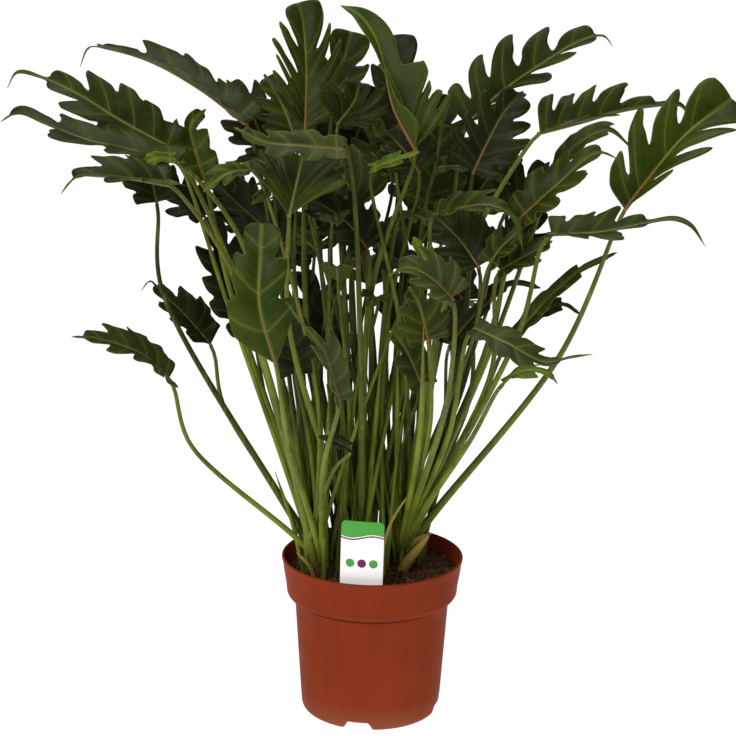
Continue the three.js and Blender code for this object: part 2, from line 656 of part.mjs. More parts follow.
plant.add(named('pot', potGeometry(), finish(0xa8492c, 0.5)));
plant.add(named('soil', soilGeometry(), finish(0x2b1b14, 0.95)));
plant.add(named('plant_tag', tagGeometry(), finish(0xf2f2ee, 0.35)));

for (const crown of Object.keys(CROWNS)) {
  plant.add(named(`stems_${crown}`, stemsGeometry(crown), finish(0x7f9233, 0.5)));
}
for (const leaf of LEAF_LIST) {
  plant.add(named(`leaf_${leaf.name}`, bladeGeometry(leaf), finish(TONES[leaf.tone], 0.4)));
}

export default plant;
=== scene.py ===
"""Potted philodendron, dressed for rendering.

A moulded pot full of soil, a plant tag, three crowns of leaf stalks and their lobed, veined blades,
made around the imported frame. Sizes are in millimetres, and MM turns them into metres.
"""
import itertools
import math
import random

import bpy
import numpy as np
from mathutils import Matrix, Vector, noise
from mathutils.geometry import delaunay_2d_cdt


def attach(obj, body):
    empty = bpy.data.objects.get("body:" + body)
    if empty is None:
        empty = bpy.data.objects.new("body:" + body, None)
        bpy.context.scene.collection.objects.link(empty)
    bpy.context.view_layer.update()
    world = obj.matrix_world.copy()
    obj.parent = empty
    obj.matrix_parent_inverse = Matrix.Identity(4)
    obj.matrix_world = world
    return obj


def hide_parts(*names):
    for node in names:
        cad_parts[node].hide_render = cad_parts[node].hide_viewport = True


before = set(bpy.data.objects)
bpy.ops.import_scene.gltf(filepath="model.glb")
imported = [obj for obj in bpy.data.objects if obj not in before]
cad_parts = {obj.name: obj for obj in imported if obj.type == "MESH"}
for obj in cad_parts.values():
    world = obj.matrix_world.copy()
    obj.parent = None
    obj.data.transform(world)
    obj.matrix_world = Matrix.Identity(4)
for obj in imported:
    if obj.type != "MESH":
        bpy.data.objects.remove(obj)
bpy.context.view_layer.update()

MM = 0.001

# ---- Sizes ----

CAMERA = {"place": (-7.4, -2500, 1074), "pitch": 15.65, "roll": 0.82, "focal": 2524, "image": 736}
FLOOR_REACH = 9.0  # from the pot to each side, in metres
SKY = {"heights": (0.02, 0.3), "strengths": (0.7, 0.2)}  # strong at the horizon, weak from above
LIGHTS = [  # name, place and aim in metres, size in metres, watts
    ("key", (-1.3, -2.3, 2.3), (0, 0, 0.45), 1.6, 40),
    ("fill", (1.7, -1.9, 1.3), (0, 0, 0.4), 1.6, 2),
    ("top", (0.1, 0.4, 2.8), (0, 0, 0.3), 2.2, 30),
]

POT = {
    "height": 171, "rim": 95, "band_height": 37, "band": 89.5, "step": 81, "foot": 73,
    "corner": 9, "wall": 2.2, "floor": 7, "segments": 288,
}
BAND_FOOT = POT["height"] - POT["band_height"]  # height of the band's lower edge
CREASE_SHADE = {"below": 8, "core": 0.9, "edge": 2.8}  # painted shade in the corner under the band, where the band's shadow falls
NOTCH = {"count": 4, "width": 35, "top": 24, "height": 8, "first": -101.2, "reach": 16}
SOIL_LEVEL = 157
# How far below its level the soil meets the pot, the gap left there, how deep its side goes down, and
# how many crumbs and fibres lie on it.
SOIL = {
    "sides": 160, "rings": 70, "drop": 6, "gap": 0.4, "depth": 16, "crumbs": 2200, "fibres": 150,
}
TAG = {
    "width": 44, "above": 77, "below": 25, "point": 22, "corner": 5, "thickness": 0.9,
    "place": (-11.5, -79), "yaw": -7, "roll": 0.9, "bow": 1.2,
}

# The tag's print: the height and wave of the green band's lower edge, how far the line runs below it,
# and the dots' radius, height, places across and colours.
GREEN, PURPLE = 0x46983c, 0x6c1850
PRINT = {
    "edge": 61.0, "ripple": 0.14, "wave": 2.0, "line": 1.6, "dot": 4.6, "dot_height": 32.0,
    "dots": ((-12, GREEN), (0, PURPLE), (12, GREEN)),
}

CROWNS = {"left": (-52, -18), "middle": (-12, 8), "right": (28, 18)}
# Half profile of a crown's mound of leaf bases: radius and height above the soil.
MOUND = [(0.01, 20), (7, 18), (12, 13), (15, 7), (17.5, 1), (18.5, -4), (16, -10), (0.01, -10)]
MOUND_SIDES = 40
# Radius at the tip and what is added to it at the root, both again for the slim stalks, how far from
# the crown's middle they root (ring and outer), how high they stand upright (collar), how deep they
# start, the length from which they have their full swell, and how much painted shade those of the dark
# tones get.
STALK = {
    "tip": 2.0, "swell": 3.0, "slim": (1.7, 1.6), "sides": 12, "ring": 11, "collar": 20, "sink": 6,
    "long": 500, "outer": {"left": 18, "middle": 32, "right": 18}, "shade": {"dark": 0.25, "deep": 0.1},
}
# Thickness and half-width at the stalk, then shares of the half-width: how far the edge curls down,
# how far lobes rise and fall, tilt and ruffle; how far the face swells between veins; mesh widths.
BLADE = {
    "thickness": 0.7, "neck": 1.5, "curl": 0.22, "wave": 0.09, "tilt": 0.1, "ruffle": 0.035,
    "quilt": 1.6, "grid": 3.6, "fine_grid": 2.6,
}
# The midrib's radius: at the base, what the half-width adds, and at the tip; how far it starts inside
# the stalk, and how dark it is on the dark tones.
RIB = {
    "base": 0.9, "share": 0.022, "tip": 0.3, "seat": 3, "sides": 8, "steps": 36,
    "shade": {"dark": 0.8, "deep": 0.25},
}

# What a blade is like when its row doesn't say: how far each half rises from flat (degrees), the share
# of that fold which is gone at the tip, how far the face turns to the right and how far the tip is
# rolled about the midrib (degrees), how deep the bays cut (the share of the lobe left between them),
# the thin tail's share of the length and half-width, how wide the end lobe is, where the first lobe
# ends and the lean of the first and last side veins from the midrib (degrees).
SHAPE = {
    "fold": 28, "ease": 0.5, "turn": 0, "twist": 0, "bay": 0.6, "tail": 0.06, "thin": 2, "end": 0.2,
    "first": 0.08, "lean": (84, 40),
}

# ---- Leaves ----
# name, crown, tone, half-width, side lobes, how far the face turns to the front from the sky
# (degrees), a point that the stalk bends through, the midrib from base to tip, and its own shape.
LEAVES = [
    ("left_top", "left", "deep", 46, 5, 12, (-95, 15, 440),
     [(-135, 30, 620), (-180, 50, 650), (-235, 75, 675), (-280, 90, 685), (-300, 100, 685),
      (-310, 100, 665)], dict(fold=33, turn=88, bay=0.66, tail=0.16)),
    ("left_upper", "left", "deep", 42, 5, 35, (-140, -20, 465),
     [(-205, -10, 600), (-260, -10, 630), (-300, -10, 655), (-335, -5, 670), (-360, -5, 675),
      (-370, -10, 660)], dict(fold=24, turn=27, ease=0.36, twist=34, bay=0.74, tail=0.26, thin=3)),
    ("left_middle", "left", "deep", 36, 4, 22, (-135, -60, 520),
     [(-195, -55, 595), (-245, -65, 610), (-285, -70, 620), (-325, -70, 635), (-350, -65, 645),
      (-370, -60, 635)], dict(fold=25, turn=60, bay=0.7, end=0.3, thin=3)),
    ("left_lower", "left", "deep", 36, 4, 15, (-140, -100, 495),
     [(-200, -115, 585), (-235, -135, 595), (-265, -150, 600), (-285, -155, 600), (-300, -160, 585)],
     dict(fold=34, turn=45, bay=0.8, tail=0.16)),
    ("left_wedge", "left", "dark", 32, 4, 45, (-220, 15, 450),
     [(-225, 20, 540), (-235, 40, 570), (-255, 65, 595)], dict(bay=0.8)),
    ("left_curl", "left", "bright", 23, 3, 67, (-150, 5, 455),
     [(-175, 10, 565), (-185, 15, 595), (-190, 20, 620), (-175, 30, 635)],
     dict(fold=25, turn=7, bay=0.85, first=0.25)),
    ("left_low_bright", "left", "pale", 27, 5, 35, (-185, -70, 310),
     [(-205, -90, 385), (-230, -110, 415), (-270, -130, 435), (-295, -140, 440)],
     dict(turn=52, bay=0.88, tail=0.1)),
    ("left_low_dark", "left", "dark", 30, 4, 42, (-160, 60, 315),
     [(-175, 80, 375), (-205, 95, 405), (-230, 105, 425), (-240, 110, 435), (-250, 110, 425)],
     dict(turn=38, bay=0.8, tail=0.2, first=0.2)),
    ("left_inner", "left", "dark", 38, 6, 35, (-80, 40, 350),
     [(-75, 60, 475), (-115, 80, 500), (-160, 100, 535), (-185, 115, 555)], dict()),
    ("left_behind", "left", "dark", 38, 5, 50, (-110, 45, 305),
     [(-130, 75, 390), (-155, 95, 450), (-180, 110, 515)], dict(bay=0.7)),
    ("front_left", "left", "bright", 31, 3, 61, (-85, -130, 335),
     [(-95, -205, 435), (-110, -205, 490), (-110, -190, 535), (-110, -165, 560)],
     dict(fold=16, turn=5, bay=0.78, tail=0, end=0.5, first=0.38, lean=(56, 44))),
    ("left_grey", "middle", "pale", 20, 4, 44, (-15, -70, 415),
     [(-35, -75, 615), (-75, -85, 620), (-110, -95, 625), (-140, -100, 640)],
     dict(fold=20, turn=29, bay=0.7, tail=0.08, end=0.3)),
    ("centre_left", "middle", "deep", 58, 5, 24, (-85, -90, 435),
     [(-85, -125, 560), (-80, -80, 580), (-75, -25, 600)],
     dict(fold=40, turn=20, bay=0.7, end=0.45, first=0.3, lean=(60, 28))),
    ("top_left", "middle", "deep", 46, 6, 64, (-70, 25, 405),
     [(-75, 40, 615), (-75, 65, 670), (-80, 90, 720), (-85, 95, 735)],
     dict(fold=31, turn=23, bay=0.4, tail=0, end=0.36, first=0.25, lean=(52, 26))),
    ("top_left_behind", "middle", "deep", 36, 4, 67, (-45, 60, 400),
     [(-50, 95, 610), (-45, 115, 650), (-35, 130, 680), (-30, 140, 700)],
     dict(fold=20, turn=4, bay=0.55, tail=0, end=0.5, lean=(70, 40))),
    ("top_curl", "middle", "dark", 46, 5, 65, (-30, -10, 415),
     [(-40, -10, 630), (-25, 0, 650), (-20, 10, 670)],
     dict(fold=40, turn=-4, bay=0.65, first=0.2, lean=(75, 35))),
    ("top_behind", "middle", "dark", 34, 4, 68, (10, 80, 395),
     [(25, 115, 590), (20, 135, 640), (15, 155, 695)], dict(bay=0.8, tail=0, end=0.6)),
    ("top_right", "middle", "bright", 64, 4, 55, (-5, -40, 465),
     [(35, -60, 615), (15, -45, 650), (5, -25, 685), (-5, -10, 715), (-20, 0, 735), (-40, 5, 745)],
     dict(fold=61, turn=50, ease=0.92, twist=36, bay=0.5, end=0.62, tail=0.5, thin=20, first=0.34,
          lean=(56, 34))),
    ("centre_dark", "middle", "dark", 36, 5, 40, (-10, -45, 425),
     [(-10, -50, 510), (-30, -45, 535), (-60, -40, 555), (-85, -35, 565)], dict(bay=0.8)),
    ("centre_bright", "middle", "deep", 44, 4, 57, (-5, 20, 410),
     [(-20, 30, 535), (-35, 40, 565), (-60, 55, 590)],
     dict(turn=15, bay=0.7, first=0.25, lean=(62, 34))),
    ("back_left_dark", "left", "dark", 38, 5, 60, (-90, 65, 340),
     [(-95, 100, 460), (-80, 120, 490), (-60, 135, 515)], dict(bay=0.75)),
    ("back_middle_dark", "middle", "dark", 32, 4, 60, (-45, 45, 295),
     [(-45, 75, 370), (-60, 90, 410), (-80, 105, 455)], dict(bay=0.8)),
    ("front_shade", "left", "dark", 24, 4, 60, (-65, -45, 300),
     [(-80, -60, 385), (-85, -60, 425), (-95, -60, 455)], dict(bay=0.85)),
    ("front_low", "left", "pale", 22, 4, 57, (-50, -140, 310),
     [(-35, -225, 405), (-50, -235, 455), (-70, -230, 480), (-85, -225, 500)],
     dict(fold=42, turn=38, bay=0.93, tail=0.28, end=0.12)),
    ("right_top", "right", "deep", 52, 5, 35, (65, 35, 405),
     [(90, 45, 620), (125, 65, 650), (170, 80, 680), (205, 90, 700), (230, 95, 705), (240, 95, 695)],
     dict(fold=40, turn=-23, bay=0.36, tail=0.12, thin=2.5, first=0.14, lean=(72, 48), end=0.16)),
    ("right_broad", "right", "dark", 42, 5, 62, (90, -5, 415),
     [(95, -25, 585), (110, -10, 615), (125, 5, 640), (145, 20, 660)],
     dict(fold=24, turn=3, bay=0.62, end=0.3)),
    ("right_upper", "right", "deep", 44, 5, 21, (75, -50, 475),
     [(160, -25, 625), (200, -20, 635), (240, -10, 645), (275, -5, 650), (300, 0, 650), (320, 5, 625)],
     dict(fold=46, turn=-6, bay=0.48, tail=0.32, thin=6, first=0.16, lean=(72, 42))),
    ("right_far", "right", "bright", 53, 4, 32, (185, -80, 415),
     [(240, -100, 565), (265, -85, 595), (300, -55, 630), (350, -10, 660)],
     dict(fold=45, turn=-29, ease=0.67, twist=-40, bay=0.4, tail=0, end=0.52, first=0.24, lean=(56,
          34))),
    ("right_arch", "right", "pale", 15, 4, 30, (120, 50, 380),
     [(180, 70, 555), (200, 75, 590), (235, 75, 610), (265, 70, 590)], dict(bay=0.9, thin=3)),
    ("right_light", "right", "deep", 30, 4, 42, (110, -60, 410),
     [(140, -95, 555), (175, -100, 590), (210, -100, 620), (230, -100, 615)],
     dict(turn=-30, bay=0.7, tail=0.14, thin=2.5)),
    ("right_level", "right", "deep", 32, 4, 14, (140, -125, 450),
     [(165, -150, 550), (210, -160, 555), (250, -165, 565), (280, -165, 570), (295, -170, 565),
      (310, -170, 545)], dict(turn=-10, ease=0.12, twist=-59, bay=0.7, tail=0.42, thin=4)),
    ("right_inner_low", "right", "deep", 26, 3, 44, (115, -95, 400),
     [(120, -110, 505), (145, -110, 520), (170, -110, 535)], dict(fold=32, turn=-36, bay=0.9)),
    ("right_hook", "right", "deep", 24, 4, 19, (60, -100, 440),
     [(55, -90, 555), (80, -105, 565), (110, -115, 570), (130, -120, 560), (140, -130, 530)],
     dict(turn=-13, ease=0.09, twist=-52, bay=0.8, tail=0.36, thin=4)),
    ("right_ribbon", "right", "deep", 10, 4, 45, (105, -60, 350),
     [(130, -75, 420), (170, -80, 470), (200, -85, 500), (235, -90, 520)], dict(bay=0.9)),
    ("right_ribbon_low", "right", "dark", 9, 3, 45, (110, -25, 340),
     [(155, -40, 435), (185, -45, 455), (205, -45, 445)], dict(bay=0.9)),
    ("right_grey", "right", "pale", 21, 4, 27, (75, -115, 345),
     [(95, -165, 460), (125, -180, 450), (160, -190, 435), (185, -190, 440), (205, -195, 445)],
     dict(fold=12, turn=3, bay=0.93, tail=0.26, thin=2.5)),
    ("right_small", "right", "young", 14, 3, 19, (95, -145, 345),
     [(120, -215, 420), (135, -225, 435), (160, -230, 435), (170, -230, 425)],
     dict(fold=10, turn=34, bay=0.9, tail=0.1)),
    ("right_strap", "right", "dark", 13, 2, 40, (100, 65, 320),
     [(110, 90, 425), (145, 100, 440), (175, 105, 435)], dict(bay=0.9)),
    ("front_right", "right", "pale", 30, 4, 40, (70, -160, 390),
     [(70, -205, 500), (50, -210, 520), (30, -210, 530), (10, -205, 520)],
     dict(fold=42, turn=-7, bay=0.92, tail=0.2, end=0.3)),
    ("front_bright", "right", "deep", 28, 4, 62, (55, -110, 350),
     [(50, -150, 445), (40, -145, 480), (30, -140, 495)], dict(bay=0.88)),
    ("back_right_dark", "right", "dark", 34, 5, 40, (125, 80, 395),
     [(130, 100, 540), (100, 115, 545), (75, 120, 550)], dict(bay=0.75)),
    ("centre_right", "right", "dark", 40, 5, 45, (95, -60, 400),
     [(100, -75, 500), (80, -60, 525), (50, -45, 550)], dict(bay=0.75)),
    ("centre_young", "right", "young", 15, 3, 60, (55, -85, 365),
     [(55, -100, 495), (45, -100, 515), (35, -100, 535)], dict(bay=0.85)),
    ("centre_small", "middle", "dark", 24, 3, 45, (30, 5, 360),
     [(35, 10, 480), (20, 15, 485), (-5, 20, 500)], dict(bay=0.85)),
    ("right_deep", "right", "dark", 36, 5, 45, (100, 10, 400),
     [(130, 15, 535), (150, 25, 555), (175, 35, 585)], dict(bay=0.75)),
    ("back_centre", "right", "dark", 32, 4, 60, (45, 50, 370),
     [(55, 75, 490), (50, 90, 540), (40, 100, 570)], dict(bay=0.8)),
]

# Fuller growth between and behind those leaves, laid out the same way.
FILL = [
    ("fill_1", "left", "dark", 38, 5, 50, (-95, 60, 430),
     [(-115, 95, 580), (-135, 110, 620), (-160, 125, 650)], dict(bay=0.7)),
    ("fill_2", "left", "deep", 34, 5, 60, (-85, 40, 435),
     [(-85, 70, 595), (-100, 90, 630), (-120, 105, 660)], dict()),
    ("fill_3", "middle", "dark", 38, 5, 65, (-55, 90, 420),
     [(-65, 130, 575), (-70, 150, 615), (-85, 165, 655)], dict(bay=0.7)),
    ("fill_4", "middle", "dark", 42, 5, 65, (-35, 110, 420),
     [(-30, 150, 555), (-20, 165, 595), (0, 180, 640)], dict(bay=0.7)),
    ("fill_5", "middle", "deep", 36, 4, 60, (-5, 70, 430),
     [(15, 95, 550), (5, 105, 580), (-10, 115, 615)], dict(bay=0.7)),
    ("fill_6", "right", "dark", 42, 5, 60, (50, 90, 415),
     [(55, 130, 550), (65, 145, 595), (80, 160, 635)], dict(bay=0.7)),
    ("fill_7", "right", "deep", 36, 4, 60, (30, 10, 335),
     [(50, 50, 535), (60, 60, 580), (65, 75, 620)], dict(bay=0.7)),
    ("fill_8", "right", "dark", 40, 5, 45, (70, 60, 430),
     [(90, 90, 515), (115, 105, 550), (150, 120, 580)], dict(bay=0.75)),
    ("fill_9", "middle", "dark", 34, 4, 50, (-65, 60, 395),
     [(-60, 85, 500), (-35, 100, 525), (-5, 110, 535)], dict(bay=0.8)),
    ("fill_10", "left", "dark", 36, 5, 50, (-110, 70, 395),
     [(-120, 105, 490), (-140, 120, 515), (-160, 135, 555)], dict(bay=0.75)),
    ("fill_11", "right", "young", 8, 3, 63, (25, -40, 425),
     [(-5, -65, 595), (15, -75, 605), (40, -80, 615)], dict(fold=35, turn=-28, bay=0.93)),
    ("fill_12", "right", "dark", 30, 4, 50, (80, 30, 355),
     [(90, 45, 435), (70, 50, 465), (50, 60, 485)], dict(bay=0.8)),
    ("fill_13", "right", "dark", 32, 4, 45, (100, 40, 375),
     [(135, 60, 475), (155, 70, 500), (175, 75, 530)], dict(bay=0.8)),
    ("fill_14", "left", "dark", 30, 4, 35, (-130, 60, 395),
     [(-180, 70, 515), (-205, 80, 535), (-225, 90, 565)], dict(bay=0.75)),
    ("fill_15", "left", "dark", 26, 3, 55, (-55, 20, 285),
     [(-55, 50, 400), (-50, 60, 430), (-35, 70, 460)], dict(bay=0.85)),
    ("fill_16", "left", "young", 9, 3, 54, (-150, -60, 460),
     [(-200, -85, 605), (-220, -90, 605), (-235, -95, 585)], dict(fold=35, turn=-3, bay=0.93)),
    ("fill_17", "right", "deep", 18, 3, 72, (95, -95, 430),
     [(110, -120, 515), (120, -120, 530), (140, -120, 550)], dict(fold=35, turn=-32, bay=0.85)),
    ("fill_19", "right", "dark", 28, 4, 60, (25, 30, 280),
     [(25, 110, 385), (30, 120, 420), (40, 130, 455)], dict(bay=0.8)),
    ("fill_20", "right", "deep", 22, 3, 55, (30, -40, 305),
     [(45, -70, 380), (30, -80, 415), (15, -90, 440)], dict(bay=0.85)),
    ("fill_21", "right", "dark", 24, 3, 45, (70, -20, 305),
     [(75, -40, 410), (95, -50, 440), (115, -50, 460)], dict(bay=0.85)),
    ("fill_22", "left", "dark", 9, 3, 50, (-40, -100, 295),
     [(-25, -150, 335), (-40, -160, 345), (-55, -165, 350)], dict(bay=0.9)),
    ("fill_23", "middle", "deep", 36, 4, 50, (-25, 30, 405),
     [(-30, 40, 545), (-50, 50, 575), (-75, 50, 590)], dict(bay=0.8)),
    ("fill_24", "middle", "dark", 34, 4, 55, (10, -10, 415),
     [(40, -25, 585), (25, -20, 605), (5, -15, 625)], dict(bay=0.8)),
]

# Leaves that fan out behind: direction from the pot's axis (degrees), height of the blade's base,
# crown, and distance of the base from the axis.
BACK = {"length": 122, "arch": 18, "half": 42, "lobes": 5}
BACK_PLACES = [
    (50, 455, "right", 140), (64, 380, "right", 120), (75, 520, "right", 135),
    (92, 430, "middle", 125), (106, 530, "middle", 120), (112, 340, "middle", 125),
    (130, 430, "left", 150),
]

# Small leaves low among the stalks.
LOW = {
    "each": 6, "turn": 137.5, "reach": (20, 110), "height": (450, 600), "length": (50, 80), "aside": 25,
}

# Young shoots that stand round each crown: how far from its middle they root, how tall they are, how
# far they lean and how thick they are.
SHOOTS = {
    "each": 16, "turn": 137.5, "root": {"left": (6, 28), "middle": (10, 36), "right": (6, 26)},
    "height": (110, 260), "lean": (0.03, 0.34), "thick": (1.6, 2.7),
}

# Rolled young leaves and one dry stump: crown, a point on the way, the tip and the thickness.
SPEARS = [
    ("right", (45, -100, 330), (45, -178, 465), 3.6),
    ("right", (43, 4, 184), (62, -9, 198), 4.2),
    ("right", (24, -20, 300), (22, -45, 405), 3.4),
    ("right", (34, 40, 320), (30, 60, 440), 3.4),
    ("middle", (0, -24, 310), (6, -55, 400), 3.4),
    ("middle", (8, 20, 330), (16, 26, 455), 3.4),
    ("middle", (-32, -14, 320), (-44, -30, 420), 3.4),
    ("left", (-48, -46, 290), (-46, -82, 370), 3.4),
    ("left", (-64, 2, 300), (-84, 8, 400), 3.4),
]
DRY_STUMP = 1  # its row in SPEARS

# Withered sheaths and stalks: crown, the line and the thickness.
DRY = [
    ("right", [(29, -2, 148), (37, -10, 166), (48, -16, 184), (58, -20, 199)], 5.6),
    ("right", [(12, -24, 148), (12, -29, 190), (19, -32, 218), (29, -34, 237), (45, -42, 262)], 1.9),
    ("right", [(8, 4, 148), (8, 10, 200), (10, 10, 240), (16, 10, 290)], 2.2),
    ("left", [(-58, -30, 150), (-66, -40, 172), (-78, -46, 188)], 2.4),
]

# Each tone: the upper face, its lighter patches, the side veins and the lower face.
TONES = {
    "deep": (0x222b04, 0x323e08, 0x626c20, 0x444c18),
    "dark": (0x181d04, 0x222806, 0x444a14, 0x343a12),
    "bright": (0x283804, 0x3a4a08, 0x707c28, 0x4a581c),
    "young": (0x365008, 0x48640c, 0x84942e, 0x5c7024),
    # pale: a greyer, lighter face that is a painted sheen, standing for light glancing off the glossy
    # leaves.
    "pale": (0x343c16, 0x424c1c, 0x6e783a, 0x525c2e),
}


# ---- Shared helpers ----

def linear(code):
    """An sRGB colour written 0xRRGGBB as the linear colour that shaders take."""
    parts = [((code >> shift) & 255) / 255 for shift in (16, 8, 0)]
    return tuple(c / 12.92 if c <= 0.04045 else ((c + 0.055) / 1.055) ** 2.4 for c in parts) + (1,)


def lerp(a, b, t):
    return a + (b - a) * t


def unit(v):
    v = np.asarray(v, float)
    return v / np.maximum(np.linalg.norm(v, axis=-1, keepdims=True), 1e-9)


def polar(radius, angle):
    return radius * math.cos(angle), radius * math.sin(angle)


def columns(*values):
    """Values side by side, a single number standing for a whole column."""
    return np.stack(np.broadcast_arrays(*values), 1)


class Path:
    """Smooth curve through points (a centripetal spline), measured along its length."""

    def __init__(self, points, steps=24):
        p = np.asarray(points, float)
        p = np.vstack([2 * p[0] - p[1], p, 2 * p[-1] - p[-2]])
        pieces = []
        t = np.linspace(0, 1, steps, endpoint=False)[:, None]
        for a, b, c, d in zip(p, p[1:], p[2:], p[3:]):
            ab, bc, cd = (max(np.linalg.norm(v), 1e-6) ** 0.5 for v in (b - a, c - b, d - c))
            out = ((b - a) / ab - (c - a) / (ab + bc) + (c - b) / bc) * bc
            into = ((c - b) / bc - (d - b) / (bc + cd) + (d - c) / cd) * bc
            pieces.append(
                b + out * t + (3 * (c - b) - 2 * out - into) * t**2
                + (2 * (b - c) + out + into) * t**3
            )
        self.points = np.vstack([*pieces, p[-2]])
        spans = np.linalg.norm(np.diff(self.points, axis=0), axis=1)
        self.run = np.concatenate([[0], np.cumsum(spans)])
        self.length = self.run[-1]

    def at(self, u):
        s = np.clip(np.asarray(u, float), 0, 1) * self.length
        return np.stack([np.interp(s, self.run, c) for c in self.points.T], -1)

    def along(self, u, reach=0.01):
        u = np.asarray(u, float)
        return unit(self.at(np.minimum(u + reach, 1)) - self.at(np.maximum(u - reach, 0)))


def add_object(name, data):
    made = bpy.data.objects.new(name, data)
    bpy.context.scene.collection.objects.link(made)
    return made


class Mesh:
    """Points, faces and per-point values of one piece, gathered in millimetres."""

    def __init__(self):
        self.points, self.faces, self.slots, self.values = [], [], [], {}

    def add(self, points, faces, slot=0, **values):
        start = len(self.points)
        self.points.extend(np.asarray(points, float).tolist())
        self.faces.extend([tuple(int(i) + start for i in f) for f in faces])
        self.slots.extend([slot] * len(faces))
        for name, value in values.items():
            column = self.values.setdefault(name, [])
            column.extend([(0.0, 0.0, 0.0)] * (start - len(column)))
            column.extend(np.broadcast_to(np.asarray(value, float), (len(points), 3)).tolist())
        return self

    def build(self, name, materials, slot, replaces=(), smooth=True):
        data = bpy.data.meshes.new(name)
        data.from_pydata((np.array(self.points) * MM).tolist(), [], self.faces)
        for material in materials:
            data.materials.append(material)
        data.polygons.foreach_set("material_index", self.slots)
        data.polygons.foreach_set("use_smooth", [smooth] * len(self.faces))
        for key, column in self.values.items():
            column.extend([(0.0, 0.0, 0.0)] * (len(self.points) - len(column)))
            attribute = data.attributes.new(key, "FLOAT_VECTOR", "POINT")
            attribute.data.foreach_set("vector", np.array(column, np.float32).ravel())
        data.update()
        piece = add_object(name, data)
        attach(piece, "root")
        if replaces:
            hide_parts(*replaces)


def ring_faces(rings, sides):
    """Quads between closed rings of points, one ring after another."""
    faces = []
    for i in range(rings - 1):
        for k in range(sides):
            a, b = i * sides + k, i * sides + (k + 1) % sides
            faces.append((a, b, b + sides, a + sides))
    return faces


def turned(faces):
    """The same faces seen from their other side."""
    return [tuple(reversed(f)) for f in faces]


def tube(path, radius, sides, steps):
    """Closed tapered tube: its points, its faces and each point's place along it."""
    u = np.linspace(0, 1, steps + 1)
    centre, along = path.at(u), path.along(u)
    normal = np.cross(along[0], (0.31, 0.2, 0.93))
    points = []
    for i in range(steps + 1):
        normal = unit(normal - along[i] * (normal @ along[i]))
        side = np.cross(along[i], normal)
        angle = np.arange(sides) * 2 * math.pi / sides
        ring = np.outer(np.cos(angle), normal) + np.outer(np.sin(angle), side)
        points.append(centre[i] + ring * radius(u[i]))
    last = steps * sides
    ends = [tuple(range(sides - 1, -1, -1)), tuple(range(last, last + sides))]
    return np.vstack(points), ring_faces(steps + 1, sides) + ends, np.repeat(u, sides)


class Shader:
    """Short forms for wiring the nodes of a material or a world."""

    def __init__(self, owner):
        owner.use_nodes = True
        self.owner, self.tree = owner, owner.node_tree
        self.tree.nodes.clear()

    def node(self, kind, inputs=None, **settings):
        made = self.tree.nodes.new(kind)
        for key, value in settings.items():
            setattr(made, key, value)
        for key, value in (inputs or {}).items():
            if isinstance(value, bpy.types.NodeSocket):
                self.tree.links.new(value, made.inputs[key])
            else:
                made.inputs[key].default_value = value
        return made

    def math(self, operation, *values, clamp=False):
        inputs = dict(enumerate(values))
        return self.node("ShaderNodeMath", inputs, operation=operation, use_clamp=clamp).outputs[0]

    def times(self, a, b):
        return self.math("MULTIPLY", a, b)

    def plus(self, a, b):
        return self.math("ADD", a, b)

    def minus(self, a, b):
        return self.math("SUBTRACT", a, b)

    def mix(self, share, a, b):
        inputs = {0: share, 6: a, 7: b}
        return self.node("ShaderNodeMix", inputs, data_type="RGBA").outputs[2]

    def layers(self, colour, *rows):
        """A colour with rows laid over it in turn: colour 0xRRGGBB, share and, for some, strength."""
        colour = linear(colour) if isinstance(colour, int) else colour
        for code, share, *strength in rows:
            colour = self.mix(self.times(share, *strength) if strength else share, colour, linear(code))
        return colour

    def ramp(self, value, low, high):
        """0 below low, 1 above high, smooth between."""
        inputs = {0: value, 1: low, 2: high, 3: 0.0, 4: 1.0}
        return self.node("ShaderNodeMapRange", inputs, interpolation_type="SMOOTHSTEP").outputs[0]

    def fall(self, value, low, high):
        """1 below low, 0 above high, smooth between."""
        return self.minus(1.0, self.ramp(value, low, high))

    def parts(self, vector):
        return self.node("ShaderNodeSeparateXYZ", {0: vector}).outputs

    def values(self, name):
        return self.parts(self.node("ShaderNodeAttribute", attribute_name=name).outputs["Vector"])

    def place(self):
        return self.node("ShaderNodeTexCoord").outputs["Object"]

    def noise(self, scale, detail=3.0, roughness=0.5, rise=None):
        """Noise on the object, drawn out upwards where rise is less than 1."""
        place = self.place()
        if rise:
            stretch = {"Vector": place, "Scale": (1.0, 1.0, rise)}
            place = self.node("ShaderNodeMapping", stretch).outputs[0]
        inputs = {"Vector": place, "Scale": scale, "Detail": detail, "Roughness": roughness}
        return self.node("ShaderNodeTexNoise", inputs).outputs[0]

    def lines(self, value, pitch, width):
        """1 on the lines where value is whole, falling to 0 at width; pitch is the gap's real size."""
        gap = self.minus(self.math("FRACT", self.plus(value, 0.5)), 0.5)
        real = self.times(self.math("ABSOLUTE", gap), pitch)
        return self.math("SUBTRACT", 1.0, self.math("DIVIDE", real, width), clamp=True)

    def bump(self, height, distance, strength):
        inputs = {"Height": height, "Distance": distance, "Strength": strength}
        return self.node("ShaderNodeBump", inputs).outputs[0]

    def surface(self, colour, roughness, specular, **more):
        """The finished material; more names further sockets of its shader, with _ for a space."""
        inputs = {"Base Color": colour, "Roughness": roughness, "Specular IOR Level": specular}
        inputs.update({key.replace("_", " "): value for key, value in more.items()})
        made = self.node("ShaderNodeBsdfPrincipled", inputs)
        self.node("ShaderNodeOutputMaterial", {0: made.outputs[0]})
        return self.owner


# ---- Materials ----

